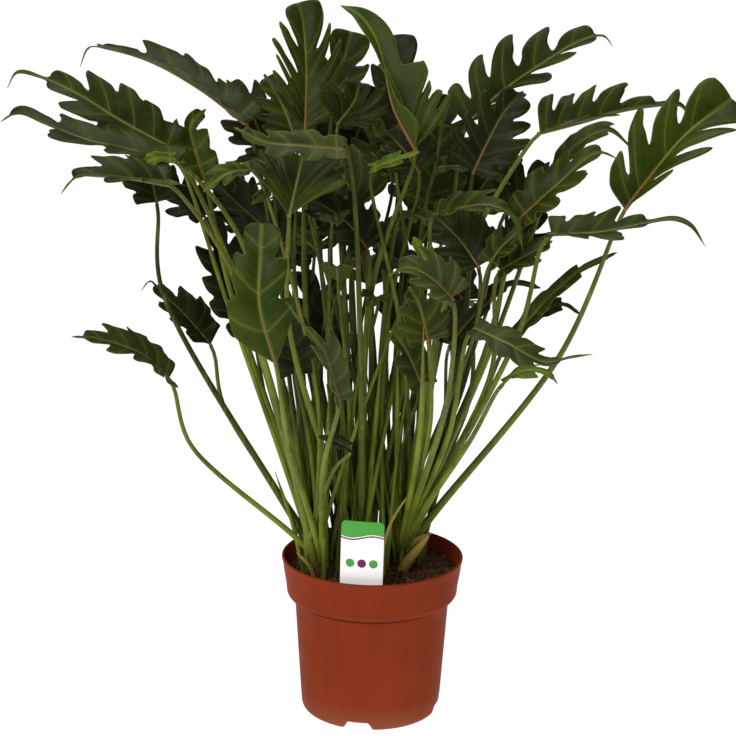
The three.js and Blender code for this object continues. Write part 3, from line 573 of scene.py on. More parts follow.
def blade_material(tone):
    """Leaf blade: pale side veins in a dark glossy face with a painted highlight beside them, and a
    paler, duller lower face.
    """
    s = Shader(bpy.data.materials.new(f"leaf_{tone}"))
    face, patch, vein, lower = TONES[tone]
    lane, reach, pitch = s.values("blade")
    run, margin, under = s.values("edge")
    drift = s.noise(22.0, 4.0, 0.55)
    fine = s.noise(260.0, 2.0)
    veins = s.lines(lane, pitch, s.minus(1.3, s.times(run, 0.6)))
    small = s.lines(s.times(lane, 5.0), s.math("DIVIDE", pitch, 5.0), 0.5)
    # Painted highlight: a broad lighter band along each side vein, standing for light caught by the
    # quilted face beside the veins.
    above = s.layers(
        face, (patch, s.ramp(drift, 0.38, 0.66)), (vein, s.lines(lane, pitch, 5.0), 0.22),
        (vein, small, 0.14), (vein, s.times(veins, s.fall(reach, 26.0, 60.0)), 0.6),
        (vein, s.fall(reach, 0.6, 3.4), 0.5),
    )
    colour = s.mix(under, above, s.layers(lower, (vein, veins, 0.5)))
    colour = s.layers(colour, (vein, s.fall(margin, 0.2, 1.1), 0.35))
    relief = s.plus(s.plus(s.times(veins, -1.0), s.times(small, -0.25)), s.times(fine, 0.35))
    gloss = s.plus(s.times(drift, 0.22), s.times(under, 0.25))
    return s.surface(colour, s.plus(gloss, 0.3), 0.13, Normal=s.bump(relief, 0.0006, 0.6))


def rib_material():
    """Midrib: brown to orange where it leaves the stalk, then yellow-green."""
    s = Shader(bpy.data.materials.new("midrib"))
    run, warm, shade = s.values("rib")
    grain = s.noise(420.0, 2.0)
    colour = s.layers(
        0x7b7a35, (0x925628, s.ramp(warm, -0.1, 0.6)), (0x7a883a, s.ramp(run, 0.15, 0.75)),
        (0x5e7434, s.ramp(run, 0.7, 1.0)), (0x2c3a17, shade, 0.55), (0x4a4a20, grain, 0.25),
    )
    return s.surface(colour, 0.42, 0.45, Normal=s.bump(grain, 0.0003, 0.5))


def stalk_material():
    """Leaf stalk: yellow-green, duller at the soil, browner at the top, with paler streaks, and
    darkened at random as painted shade.
    """
    s = Shader(bpy.data.materials.new("stalk"))
    run, kind, shade = s.values("stalk")
    streak = s.noise(330.0, 2.0, rise=0.08)
    drift = s.noise(14.0)
    # Painted shade: the third value darkens a stalk towards near black, standing for stalks shaded by
    # leaves and neighbours.
    colour = s.layers(
        0x56661a, (0x84942e, s.ramp(drift, 0.35, 0.65)), (0x66702c, s.fall(run, 0.0, 0.16)),
        (0x5a5820, s.ramp(run, 0.55, 1.0), 0.6), (0x161e08, shade, 0.85), (0xaa974a, kind),
        (0x9cac4a, s.ramp(streak, 0.5, 0.75), 0.3),
    )
    return s.surface(colour, 0.45, 0.13, Normal=s.bump(streak, 0.0004, 0.5))


def pot_material():
    """Moulded terracotta-coloured plastic: faint flow marks, a fine grain, scuffs and dust low down,
    and painted shade in the corner under the band.
    """
    s = Shader(bpy.data.materials.new("pot_plastic"))
    height = s.parts(s.place())[2]
    cloud = s.noise(9.0, 4.0)
    grain = s.noise(900.0, 2.0)
    flow = s.noise(60.0, rise=0.12)
    # Painted shade: a thin dark line in the corner under the band, where the band shades the body.
    away = s.math("ABSOLUTE", s.minus(height, (BAND_FOOT - CREASE_SHADE["below"]) * MM))
    colour = s.layers(
        0x8b371d, (0x923d20, s.ramp(cloud, 0.35, 0.65)), (0x752f18, s.ramp(flow, 0.45, 0.7), 0.25),
        (0xb98a70, s.times(s.fall(height, 0.0, 0.03), cloud), 0.35),
        (0xc08a70, s.ramp(s.noise(150.0, 5.0, 0.7), 0.66, 0.74), 0.22),
        (0x4a170c, s.fall(away, CREASE_SHADE["core"] * MM, CREASE_SHADE["edge"] * MM), 0.85),
    )
    relief = s.plus(s.times(flow, 0.8), s.times(grain, 0.2))
    gloss = s.plus(s.times(cloud, 0.16), 0.42)
    return s.surface(colour, gloss, 0.02, Normal=s.bump(relief, 0.0004, 0.35))


def soil_material():
    """Peat: nearly black, with brown crumbs and paler wood fibre."""
    s = Shader(bpy.data.materials.new("potting_soil"))
    shade, fibre, _ = s.values("soil")
    coarse = s.noise(180.0, 6.0, 0.7)
    fine = s.noise(900.0, 3.0, 0.7)
    colour = s.layers(
        0x342014, (0x6a4830, s.ramp(coarse, 0.35, 0.65)), (0x9c7a58, s.math("POWER", shade, 3.0)),
        (0xa07c58, s.ramp(fine, 0.68, 0.78)), (0xa08462, fibre),
    )
    return s.surface(colour, 0.95, 0.15, Normal=s.bump(s.plus(coarse, fine), 0.0015, 0.9))


def tag_material():
    """Glossy white card printed with a plain green band, a purple line and three dots, glowing faintly
    in its own colours as painted light.
    """
    s = Shader(bpy.data.materials.new("tag_card"))
    across, up, _ = s.values("card")
    mottle = s.noise(500.0, 2.0)
    wave = s.times(s.math("SINE", s.times(across, PRINT["ripple"])), PRINT["wave"])
    above = s.minus(up, s.plus(PRINT["edge"], wave))
    line = s.math("ABSOLUTE", s.plus(above, PRINT["line"]))
    colour = s.layers(0xf6f6f4, (GREEN, s.ramp(above, 0.0, 0.25)), (PURPLE, s.fall(line, 0.7, 0.95)))
    spot = s.node("ShaderNodeCombineXYZ", {0: across, 1: up}).outputs[0]
    for x, code in PRINT["dots"]:
        inputs = {0: spot, 1: (x, PRINT["dot_height"], 0.0)}
        away = s.node("ShaderNodeVectorMath", inputs, operation="DISTANCE").outputs["Value"]
        colour = s.layers(colour, (code, s.fall(away, PRINT["dot"] - 0.2, PRINT["dot"] + 0.1)))
    # Painted light: the card glows faintly in its own colours, which brightens it though it is no lamp.
    return s.surface(
        colour, s.plus(s.times(mottle, 0.1), 0.28), 0.3, Normal=s.bump(mottle, 0.0002, 0.2),
        Emission_Color=colour, Emission_Strength=0.3,
    )


def floor_material():
    """Pale studio floor, lit evenly from within."""
    s = Shader(bpy.data.materials.new("studio_floor"))
    colour = s.layers(0x585858, (0x606060, s.noise(40.0, 2.0)))
    white = (1.0, 1.0, 1.0, 1.0)
    return s.surface(colour, 0.8, 0.1, Emission_Color=white, Emission_Strength=1.0)


# ---- Pot ----

def arc(cx, cz, radius, start, end, steps):
    """Points of an arc in a profile, with angles in degrees."""
    angles = np.radians(np.linspace(start, end, steps))
    return [(cx + radius * math.cos(a), cz + radius * math.sin(a)) for a in angles]


def notch_lift(angle):
    """How high the foot's edge rises at an angle, in millimetres."""
    step = 2 * math.pi / NOTCH["count"]
    off = (angle - math.radians(NOTCH["first"]) + step / 2) % step - step / 2
    away = abs(math.sin(off)) * POT["foot"]
    share = (NOTCH["width"] / 2 - away) / ((NOTCH["width"] - NOTCH["top"]) / 2)
    return NOTCH["height"] * min(max(share, 0), 1)


def make_pot():
    """Turned pot with a raised floor, a wide band and lip, and notches in its foot."""
    wall, foot, corner, step = (POT[key] for key in ("wall", "foot", "corner", "step"))
    band, rim, top, floor = (POT[key] for key in ("band", "rim", "height", "floor"))
    flat = foot - corner
    outside = [
        # The raised floor from below, and the ring that the pot stands on.
        (0.01, floor), (30, floor), (flat - 4.4, floor), (flat - 3.6, floor - 0.8),
        (flat - 3.2, 1.0), (flat - 2.4, 0.1), (flat - 1, 0.0),
        # The foot's corner and the body.
        *arc(flat, corner, corner, -85, 4, 9),
        (foot + 0.9, 20), (lerp(foot, step, 0.45), 60), (lerp(foot, step, 0.88), 112),
        # The step under the band, the band and the lip.
        (step, BAND_FOOT - 8.6), (step + 0.7, BAND_FOOT - 7.6),
        *arc(step + 1.0, BAND_FOOT, 7.6, -66, 4, 7),
        (band + 0.6, BAND_FOOT + 6), (lerp(band, rim, 0.6), lerp(BAND_FOOT, top, 0.6)),
        (rim - 1.0, top - 4.2), (rim - 0.2, top - 3.0), *arc(rim - 1.5, top - 1.5, 1.5, -10, 100, 6),
        (rim - wall - 0.3, top - 0.3), (rim - wall - 0.7, top - 1.4),
    ]
    inside_rows = [
        (band - wall, BAND_FOOT + 2), (step - wall, BAND_FOOT - 8), (lerp(foot, step, 0.5) - wall, 70),
        (foot - wall, floor + wall + 6), (flat, floor + wall), (0.01, floor + wall),
    ]
    sides = POT["segments"]
    angles = np.arange(sides) * 2 * math.pi / sides
    lifts = [notch_lift(a) for a in angles]
    points = []
    for row, (radius, z) in enumerate(outside + inside_rows):
        near_foot = row < len(outside) and radius > flat - 5 and z < NOTCH["reach"]
        for a, lift in zip(angles, lifts):
            up = lift * (1 - z / NOTCH["reach"]) if near_foot else 0
            points.append((*polar(radius, a), z + up))
    last = len(points) - sides
    faces = ring_faces(len(outside + inside_rows), sides)
    faces += [tuple(range(sides - 1, -1, -1)), tuple(range(last, last + sides))]
    Mesh().add(points, faces).build("pot_body", [pot_material()], "pot_plastic", ["pot"])


# ---- Soil ----

def soil_height(x, y):
    """Height of the soil: lumps, grit and a heap round each crown."""
    lumps = noise.fractal(Vector((x, y, 3.0)) * 0.05, 0.8, 2.1, 5)
    grit = noise.fractal(Vector((x, y, 9.0)) * 0.35, 0.7, 2.0, 3)
    heap = max(0.0, 1 - min(math.hypot(x - cx, y - cy) for cx, cy in CROWNS.values()) / 34)
    return SOIL_LEVEL - 1.5 + 2.2 * lumps + 0.9 * grit + 4.0 * heap


def pebble():
    """Corners and faces of an icosahedron."""
    golden = (1 + 5**0.5) / 2
    flat = [(s, t * golden) for s in (-1, 1) for t in (-1, 1)]
    corners = [(a, b, 0) for a, b in flat] + [(0, a, b) for a, b in flat] + [(b, 0, a) for a, b in flat]
    corners = np.array(corners)
    faces = []
    for a, b, c in itertools.combinations(range(12), 3):
        pairs = ((a, b), (b, c), (a, c))
        if all(abs(np.linalg.norm(corners[i] - corners[j]) - 2) < 0.1 for i, j in pairs):
            out = np.cross(corners[b] - corners[a], corners[c] - corners[a]) @ corners[a]
            faces.append((a, b, c) if out > 0 else (a, c, b))
    return corners, faces


def soil_spot(rng, reach):
    """A place on the soil, anywhere within reach of the axis."""
    return polar(reach * math.sqrt(rng.random()), rng.random() * 2 * math.pi)


def make_soil():
    """The bed that fills the pot, and the crumbs and fibres that lie on it."""
    rng = np.random.default_rng(11)
    sides, rings, bottom = SOIL["sides"], SOIL["rings"], SOIL_LEVEL - SOIL["depth"]
    share = (SOIL_LEVEL - SOIL["drop"] - BAND_FOOT) / POT["band_height"]
    edge = lerp(POT["band"], POT["rim"], share) - POT["wall"] - SOIL["gap"]
    points = [(0, 0, soil_height(0, 0))]
    for i in range(1, rings + 1):
        for k in range(sides):
            x, y = polar(edge * i / rings, 2 * math.pi * (k + 0.5 * (i % 2)) / sides)
            points.append((x, y, soil_height(x, y) - 2.0 * (i / rings) ** 12))
    last = len(points)
    points += [(x * 0.985, y * 0.985, bottom) for x, y, _ in points[-sides:]]
    points.append((0, 0, bottom))
    faces = [(0, 1 + k, 1 + (k + 1) % sides) for k in range(sides)]
    faces += [tuple(1 + i for i in f) for f in turned(ring_faces(rings + 1, sides))]
    faces += [(last + (k + 1) % sides, last + k, last + sides) for k in range(sides)]
    bed = Mesh().add(points, faces, soil=(0, 0, 0))
    bed.build("soil_bed", [SOIL_MATERIAL], "potting_soil", ["soil"])

    crumbs = Mesh()
    corners, lump_faces = pebble()
    for _ in range(SOIL["crumbs"]):
        x, y = soil_spot(rng, edge * 0.98)
        size = 0.4 + 1.7 * rng.random() ** 3
        shape = unit(corners) * size * (0.7 + 0.6 * rng.random((12, 1))) * rng.uniform(0.7, 1.4, 3)
        lump = shape + (x, y, soil_height(x, y) + 0.3 * size)
        crumbs.add(lump, lump_faces, soil=(rng.random(), 0, 0))
    crumbs.build("soil_crumbs", [SOIL_MATERIAL], "potting_soil", smooth=False)

    fibres = Mesh()
    for _ in range(SOIL["fibres"]):
        x, y = soil_spot(rng, edge * 0.95)
        turn, span = rng.random() * 2 * math.pi, rng.uniform(4, 15)
        line = []
        for t in (0, 0.35, 0.7, 1):
            px = x + math.cos(turn) * span * (t - 0.5) + rng.normal(0, 0.8)
            py = y + math.sin(turn) * span * (t - 0.5) + rng.normal(0, 0.8)
            if math.hypot(px, py) > edge - 2:
                px, py = px * 0.9, py * 0.9
            line.append((px, py, soil_height(px, py) + 0.5 + rng.random() * 1.2))
        thick = rng.uniform(0.25, 0.6)
        strand, strand_faces, _ = tube(Path(line, 4), lambda u: thick * (1 - 0.5 * u), 5, 8)
        fibres.add(strand, strand_faces, soil=(0, rng.uniform(0.3, 1), 0))
    fibres.build("soil_fibres", [SOIL_MATERIAL], "potting_soil")


# ---- Tag ----

def tag_half(z):
    """Half the card's width at a height above the soil."""
    width, corner = TAG["width"] / 2, TAG["corner"]
    if z < TAG["point"] - TAG["below"]:
        return max(width * (z + TAG["below"]) / TAG["point"], 0.4)
    if z > TAG["above"] - corner:
        return width - corner + math.sqrt(max(corner**2 - (z - TAG["above"] + corner) ** 2, 0))
    return width


def make_tag():
    """Card with rounded corners and a pointed foot, bowed a little: two faces and a bevelled rim."""
    above, below, corner, half_thick = TAG["above"], TAG["below"], TAG["corner"], TAG["thickness"] / 2
    shoulder = TAG["point"] - below
    heights = np.concatenate([
        np.linspace(-below, shoulder, 6), np.linspace(shoulder + 3, above - corner, 16),
        above - corner + corner * np.sin(np.radians(np.linspace(10, 90, 9))),
    ])
    across = np.linspace(-1, 1, 17)
    turn = Matrix.Rotation(math.radians(TAG["yaw"]), 3, "Z")
    turn = turn @ Matrix.Rotation(math.radians(TAG["roll"]), 3, "Y")
    shift = Vector((*TAG["place"], SOIL_LEVEL))
    points, values = [], []
    for inset, depth in ((0.25, -1), (0, -0.6), (0, 0.6), (0.25, 1)):
        for z in heights:
            half = tag_half(z) - inset
            level = min(max(z, -below + inset), above - inset)
            for c in across:
                y = depth * half_thick + TAG["bow"] * c * c
                points.append(tuple(turn @ Vector((c * half, y, level)) + shift))
                values.append((c * half, z, 0))
    n, m = len(across), len(heights)
    size = n * m
    grid = [
        (i * n + k, i * n + k + 1, (i + 1) * n + k + 1, (i + 1) * n + k)
        for i in range(m - 1) for k in range(n - 1)
    ]
    border = [*range(n), *[i * n + n - 1 for i in range(1, m)]]
    border += [*range(m * n - 2, (m - 1) * n - 1, -1), *[i * n for i in range(m - 2, 0, -1)]]
    faces = grid + turned([tuple(v + 3 * size for v in f) for f in grid])
    for low in (0, size, 2 * size):
        for a, b in zip(border, border[1:] + border[:1]):
            faces.append((b + low, a + low, a + low + size, b + low + size))
    used = sorted({v for f in faces for v in f})
    index = {v: i for i, v in enumerate(used)}
    faces = [tuple(index[v] for v in f) for f in faces]
    card = Mesh().add([points[v] for v in used], faces, card=[values[v] for v in used])
    card.build("tag_card", [tag_material()], "tag_card", ["plant_tag"])


# ---- Stalks ----

def root_point(crown, towards, rank, ring=STALK["ring"], swing=0.0):
    """Where a stalk leaves its crown: on the side that it leans to, or swung round from there."""
    cx, cy = CROWNS[crown]
    heading = math.atan2(towards[1] - cy, towards[0] - cx) + swing
    reach = ring * (0.35 + 0.65 * ((rank * 0.618) % 1))
    dx, dy = polar(reach, heading)
    return np.array((cx + dx, cy + dy, SOIL_LEVEL - STALK["sink"]))


def stalk_path(leaf, rank):
    via, base = np.array(leaf["via"], float), np.array(leaf["rib"][0], float)
    along = Path(leaf["rib"]).along(0)
    arrive = unit(lerp(unit(base - via), along, 0.35))
    end = base - arrive
    if leaf["extra"]:
        swing = random.Random(leaf["name"]).uniform(-2.4, 2.4)
        root = root_point(leaf["crown"], via, rank, STALK["outer"][leaf["crown"]], swing)
    else:
        root = root_point(leaf["crown"], via, rank)
    collar = lerp(root, via, 0.03)
    collar[2] = SOIL_LEVEL + STALK["collar"]
    return Path([root, collar, via, end - 12 * arrive, end])


def spear_path(crown, via, tip, rank):
    root = root_point(crown, via, rank)
    collar = lerp(root, np.array(via, float), 0.03)
    collar[2] = SOIL_LEVEL + STALK["collar"] / 2
    return Path([root, collar, via, tip])


def shoot_paths(crown, rng):
    """Lines of the young shoots round a crown, which lean every way and cross the stalks."""
    cx, cy = CROWNS[crown]
    foot = SOIL_LEVEL - STALK["sink"]
    for i in range(SHOOTS["each"]):
        heading = math.radians(SHOOTS["turn"] * i)
        reach = rng.uniform(*SHOOTS["root"][crown])
        x, y = cx + reach * math.cos(heading), cy + 0.8 * reach * math.sin(heading)
        swing = heading + math.radians(rng.uniform(-80, 80))
        tall, lean = rng.uniform(*SHOOTS["height"]), rng.uniform(*SHOOTS["lean"])
        dx, dy = lean * tall * math.cos(swing), 0.7 * lean * tall * math.sin(swing)
        yield Path([(x + s * dx, y + s * dy, foot + t * tall) for s, t in ((0, 0), (0.4, 0.5), (1, 1))])


def add_stalk(mesh, path, radius, kind, shade):
    points, faces, u = tube(path, radius, STALK["sides"], max(16, int(path.length / 9)))
    mesh.add(points, faces, stalk=columns(u, kind, shade))


def make_stems(crown):
    """All the stalks of a crown, on a low mound of leaf bases."""
    cx, cy = CROWNS[crown]
    mesh = Mesh()
    points = []
    for r, z in MOUND:
        for k in range(MOUND_SIDES):
            a = 2 * math.pi * k / MOUND_SIDES
            wobble = 1 + 0.1 * math.sin(5 * a + z) + 0.06 * math.sin(9 * a)
            dx, dy = polar(r * wobble, a)
            points.append((cx + dx, cy + dy, SOIL_LEVEL + z))
    mesh.add(points, turned(ring_faces(len(MOUND), MOUND_SIDES)), slot=1, soil=(0.0, 0.0, 0.0))
    rng = random.Random(crown)
    own = [leaf for leaf in ALL_LEAVES if leaf["crown"] == crown]
    for rank, leaf in enumerate(own):
        # Painted shade: a random darkening for each stalk, more on those of the dark and deep tones.
        shade = STALK["shade"].get(leaf["tone"], 0.0)
        shade += (0.95 if leaf["extra"] else 0.9) * rng.random() ** 1.1
        path = stalk_path(leaf, rank)
        tip, swell = STALK["slim"] if leaf["extra"] else (STALK["tip"], STALK["swell"])
        swell *= min(max(path.length / STALK["long"], 0.5) ** 1.5, 1)
        kind = rng.choice((0.0, 0.0, 0.0, 0.12))
        add_stalk(mesh, path, lambda u, a=tip, b=swell: a + b * (1 - u) ** 1.1, kind, shade)
    spears = [(i, row) for i, row in enumerate(SPEARS) if row[0] == crown]
    for rank, (i, (_, via, tip, thick)) in enumerate(spears):
        path = spear_path(crown, via, tip, rank)
        kind = 1.0 if i == DRY_STUMP else 0.0
        add_stalk(mesh, path, lambda u, t=thick: max(0.5, t * (1 - u**4)), kind, 0.0)
    for path in shoot_paths(crown, rng):
        thick = rng.uniform(*SHOOTS["thick"])
        # Painted shade: a random darkening for each shoot.
        shade = 0.9 * rng.random()
        add_stalk(
            mesh, path, lambda u, t=thick: max(0.4, t * (1.1 - 0.35 * u) * (1 - u**6)), 0.0, shade,
        )
    for name, line, thick in DRY:
        if name == crown:
            add_stalk(mesh, Path(line), lambda u, t=thick: max(0.5, t * (1 - 0.8 * u**3)), 1.0, 0.0)
    mesh.build(f"stalks_{crown}", [STALK_MATERIAL, SOIL_MATERIAL], "stalk", [f"stems_{crown}"])


# ---- Blades ----

def half_width(u, leaf):
    """How far the lobes reach out at a share u of the blade, its tail left out."""
    return leaf["half"] * (1 - (1 - leaf["end"]) * (np.abs(u - 0.38) / 0.62) ** 1.7)


def side_veins(leaf, body, rng):
    """Root, tip and reach of each lobe's vein: crowded and square at the base, leaning on later."""
    lobes = leaf["lobes"]
    pitch = (0.93 - leaf["first"]) * body / (lobes - 1)
    veins = []
    for i in range(lobes):
        share = i / (lobes - 1)
        tip = leaf["first"] * body + i * pitch
        reach = half_width(tip / body, leaf) * (1 + rng.uniform(-0.1, 0.1))
        lean = math.radians(lerp(*leaf["lean"], share**0.6))
        veins.append([tip - reach / math.tan(lean), tip, reach])
    veins[0][0] = max(veins[0][0], 0.02 * body)
    for a, b in zip(veins, veins[1:]):
        b[0] = max(b[0], a[0] + 0.25 * pitch)
    return np.array(veins), pitch


def vein_place(vein, w):
    root, tip, reach = vein
    return root + (tip - root) * np.maximum(w / reach, 0) ** 1.2


LOBE = [  # share of the way from the bay to the lobe's tip, and offset as a share of the pitch
    (0.2, -0.4), (0.5, -0.37), (0.78, -0.27), (0.95, -0.08), (1.0, 0.07), (0.93, 0.2), (0.7, 0.28),
    (0.4, 0.33), (0.15, 0.37),
]
LOBE_TOP = 4  # how many of these are on the near side of the tip


def side_outline(leaf, body, length, veins, pitch, rng):
    """One side's edge from the stalk to the tip, as (along, out) points."""
    thin = leaf["thin"]
    cuts = [min(0.93, leaf["bay"] * rng.uniform(0.8, 1.3)) for _ in range(len(veins) + 1)]
    points = [(0, BLADE["neck"])]
    for i, vein in enumerate(veins):
        reach = vein[2]
        last = i + 1 == len(veins)
        for share, offset in LOBE[:LOBE_TOP] if last else LOBE:
            w = lerp(cuts[i] if offset < 0 else cuts[i + 1], 1, share) * reach
            here = vein_place(vein, w)
            beside = i - 1 if offset < 0 else i + 1
            gap = abs(vein_place(veins[beside], w) - here) if 0 <= beside < len(veins) else pitch
            points.append((here + offset * gap * (1 + rng.uniform(-0.08, 0.08)), w))
        if not last:
            ahead = veins[i + 1]
            w = min(reach, ahead[2]) * cuts[i + 1]
            points.append(((vein_place(vein, w) + vein_place(ahead, w)) / 2, w))
    tip, reach = veins[-1][1:]
    points.append((lerp(tip, body, 0.55), reach * 0.86))
    points.append((lerp(tip, body, 0.9), max(reach * 0.5, thin)))
    points.append((body, max(reach * 0.15, thin * 0.9)))
    if length > body:
        points.append((lerp(body, length, 0.5), thin * 0.8))
    points.append((length, 0.0))
    return Path(points, 6)


def inside(points, polygon):
    """Which points are within a polygon."""
    x, y = points[:, :1], points[:, 1:]
    a, b = polygon, np.roll(polygon, -1, axis=0)
    crosses = (a[:, 1] > y) != (b[:, 1] > y)
    rise = np.where(b[:, 1] == a[:, 1], 1e-9, b[:, 1] - a[:, 1])
    where = a[:, 0] + (y - a[:, 1]) * (b[:, 0] - a[:, 0]) / rise
    return (crosses & (x < where)).sum(1) % 2 == 1


def distance(points, lines):
    """Distance from each point to the nearest of a set of segments ((a, b) pairs)."""
    a, b = lines[:, 0], lines[:, 1]
    ab = b - a
    t = ((points[:, None] - a) * ab).sum(2) / np.maximum((ab**2).sum(1), 1e-9)
    near = a + np.clip(t, 0, 1)[..., None] * ab
    return np.linalg.norm(points[:, None] - near, axis=2).min(1)


def flat_blade(leaf, length, rng):
    """Triangulated outline of a blade laid flat: points, triangles, margin and vein lanes."""
    grid = BLADE["grid"] if leaf["half"] > 24 else BLADE["fine_grid"]
    body = length * (1 - leaf["tail"])
    sides, lanes = [], []
    for side in (1, -1):
        veins, pitch = side_veins(leaf, body, rng)
        edge = side_outline(leaf, body, length, veins, pitch, rng)
        count = int(edge.length / (grid * 0.75))
        sides.append(edge.at(np.linspace(0, 1, count)) * (1, side))
        lanes.append((veins, pitch))
    boundary = np.vstack([sides[0], sides[1][-2::-1]])
    loop = np.stack([boundary, np.roll(boundary, -1, axis=0)], 1)

    fixed, edges = list(boundary), [(i, (i + 1) % len(boundary)) for i in range(len(boundary))]
    inner_lines = []
    run = np.arange(grid, length * 0.97, grid)
    chains = [columns(run, 0)]
    for side, (veins, _) in zip((1, -1), lanes):
        for vein in veins:
            w = np.arange(grid, vein[2] * 0.9, grid)
            chains.append(columns(vein_place(vein, w), w * side))
    for chain in chains:
        chain = chain[inside(chain, boundary) & (distance(chain, loop) > grid * 0.35)]
        start = len(fixed)
        fixed.extend(chain)
        for i in range(len(chain) - 1):
            if np.linalg.norm(chain[i + 1] - chain[i]) < grid * 2.2:
                edges.append((start + i, start + i + 1))
                inner_lines.append((chain[i], chain[i + 1]))
    low, high = boundary.min(0), boundary.max(0)
    xs, ys = np.meshgrid(np.arange(low[0], high[0], grid), np.arange(low[1], high[1], grid * 0.87))
    xs[1::2] += grid / 2
    field = np.stack([xs.ravel(), ys.ravel()], 1)
    field = field[inside(field, boundary)]
    field = field[distance(field, loop) > grid * 0.5]
    field = field[distance(field, np.array(inner_lines)) > grid * 0.5]
    everything = [Vector(p) for p in [*fixed, *field]]
    flat, _, triangles, *_ = delaunay_2d_cdt(everything, edges, [list(range(len(boundary)))], 1, 1e-5)
    flat = np.array([tuple(p) for p in flat])
    return flat, [tuple(t) for t in triangles], distance(flat, loop), lanes


def lane_of(flat, lanes):
    """Each point's place among its side's veins: whole numbers are on the veins."""
    lane = np.zeros(len(flat))
    for side, (veins, pitch) in zip((1, -1), lanes):
        mine = np.nonzero(flat[:, 1] * side >= 0)[0]
        for i in mine:
            x, w = flat[i, 0], abs(flat[i, 1])
            at = np.array([vein_place(v, w) for v in veins])
            at = np.maximum.accumulate(at + np.arange(len(at)) * 1e-6)
            at = np.concatenate([[at[0] - pitch / 2], at, [at[-1] + pitch / 2]])
            lane[i] = np.interp(x, at, [-0.5, *range(len(veins)), len(veins) - 0.5])
    return lane


def blade_frame(leaf, path):
    face, turn = math.radians(leaf["face"]), math.radians(leaf["turn"])
    skyward = np.array((math.sin(turn), -math.cos(turn), 0)) * math.sin(face)
    skyward[2] = math.cos(face)
    return unit(np.cross(path.along(0.5), skyward))


def bend_blade(leaf, path, flat, lane):
    """Lifts the flat blade on to its midrib: folded, curled down at the lobes and waved."""
    half, length = leaf["half"], path.length
    x, w, side = flat[:, 0], np.abs(flat[:, 1]), np.sign(flat[:, 1])
    u = x / length
    t = np.clip(u, 0, 1)
    along = path.along(t, 0.02)
    across = blade_frame(leaf, path)
    out = unit(across - along * (along @ across)[:, None])
    up = np.cross(out, along)
    roll = np.radians(leaf["twist"] * t**2)[:, None]
    out, up = out * np.cos(roll) + up * np.sin(roll), up * np.cos(roll) - out * np.sin(roll)
    fold = np.radians(leaf["fold"] * (1 - leaf["ease"] * t**2))
    share = w / half
    phase = np.where(side >= 0, 0.0, 2.3) + half
    nearest = np.round(lane)
    part = lane - nearest
    rise = half * BLADE["wave"] * np.sin(2.1 * lane + phase)
    tilt = half * BLADE["tilt"] * part * np.sin(1.7 * nearest + phase)
    quilt = BLADE["quilt"] * np.abs(part) * 2 * np.clip(share * 3, 0, 1)
    ruffle = half * BLADE["ruffle"] * np.sin(6.3 * lane + 2 * phase + 3 * u) * share**2
    height = w * np.sin(fold) - half * BLADE["curl"] * share**2.5
    height += (rise + tilt) * share + quilt + ruffle
    outward = w * np.cos(fold) * side
    overrun = along * ((u - t) * length)[:, None]
    return path.at(t) + overrun + out * outward[:, None] + up * height[:, None]


def thicken(points, triangles, thickness):
    """Both faces of a sheet and the rim between them."""
    p = np.asarray(points)
    tri = np.array(triangles)
    normal = np.cross(p[tri[:, 1]] - p[tri[:, 0]], p[tri[:, 2]] - p[tri[:, 0]])
    gathered = np.zeros_like(p)
    for k in range(3):
        np.add.at(gathered, tri[:, k], normal)
    gathered = unit(gathered)
    n = len(p)
    seen = {(a, b) for t in triangles for a, b in ((t[0], t[1]), (t[1], t[2]), (t[2], t[0]))}
    rim = [(b, a, a + n, b + n) for a, b in seen if (b, a) not in seen]
    faces = list(triangles) + [(a + n, c + n, b + n) for a, b, c in triangles] + rim
    return np.vstack([p + gathered * thickness / 2, p - gathered * thickness / 2]), faces


def make_blade(leaf):
    """A leaf's blade with its midrib."""
    rng = random.Random(leaf["name"])
    path = Path(leaf["rib"])
    flat, triangles, margin, lanes = flat_blade(leaf, path.length, rng)
    lane = lane_of(flat, lanes)
    points = bend_blade(leaf, path, flat, lane)
    a, b, c = (flat[[t[k] for t in triangles]] for k in range(3))
    turn = (b - a)[:, 0] * (c - a)[:, 1] - (b - a)[:, 1] * (c - a)[:, 0]
    triangles = [t if s < 0 else t[::-1] for t, s in zip(triangles, turn)]
    solid, faces = thicken(points, triangles, BLADE["thickness"])
    blade = columns(lane, np.abs(flat[:, 1]), lanes[0][1])
    top, low = (columns(flat[:, 0] / path.length, margin, under) for under in (0, 1))
    mesh = Mesh().add(solid, faces, blade=np.vstack([blade, blade]), edge=np.vstack([top, low]))

    thick = RIB["base"] + leaf["half"] * RIB["share"]
    rib_path = Path([path.at(0) - RIB["seat"] * path.along(0), *leaf["rib"]])
    rib_points, rib_faces, u = tube(
        rib_path, lambda u: max(RIB["tip"], thick * (1 - u) ** 0.8), RIB["sides"], RIB["steps"],
    )
    warm, shade = rng.random(), RIB["shade"].get(leaf["tone"], 0.0)
    mesh.add(rib_points, rib_faces, slot=1, rib=columns(u, warm, shade))
    node = [] if leaf["extra"] else [f"leaf_{leaf['name']}"]
    kind = "young_leaf" if leaf["tone"] == "young" else "leaf"
    mesh.build(f"blade_{leaf['name']}", [BLADE_MATERIALS[leaf["tone"]], RIB_MATERIAL], kind, node)


def back_leaves():
    """Rows of the blades that fan out behind."""
    rows = []
    for i, (degrees, height, crown, reach) in enumerate(BACK_PLACES):
        dx, dy = polar(1, math.radians(degrees))
        tip = reach + BACK["length"]
        line = [(reach, height), ((reach + tip) / 2, height + BACK["arch"]), (tip, height - 8)]
        rib = [(dx * out, dy * out, z) for out, z in line]
        via = (dx * reach * 0.62, dy * reach * 0.62, height * 0.68)
        tone = "deep" if i % 2 else "dark"
        rows.append((f"back_{i + 1}", crown, tone, BACK["half"], BACK["lobes"], 0, via, rib, {}))
    return rows


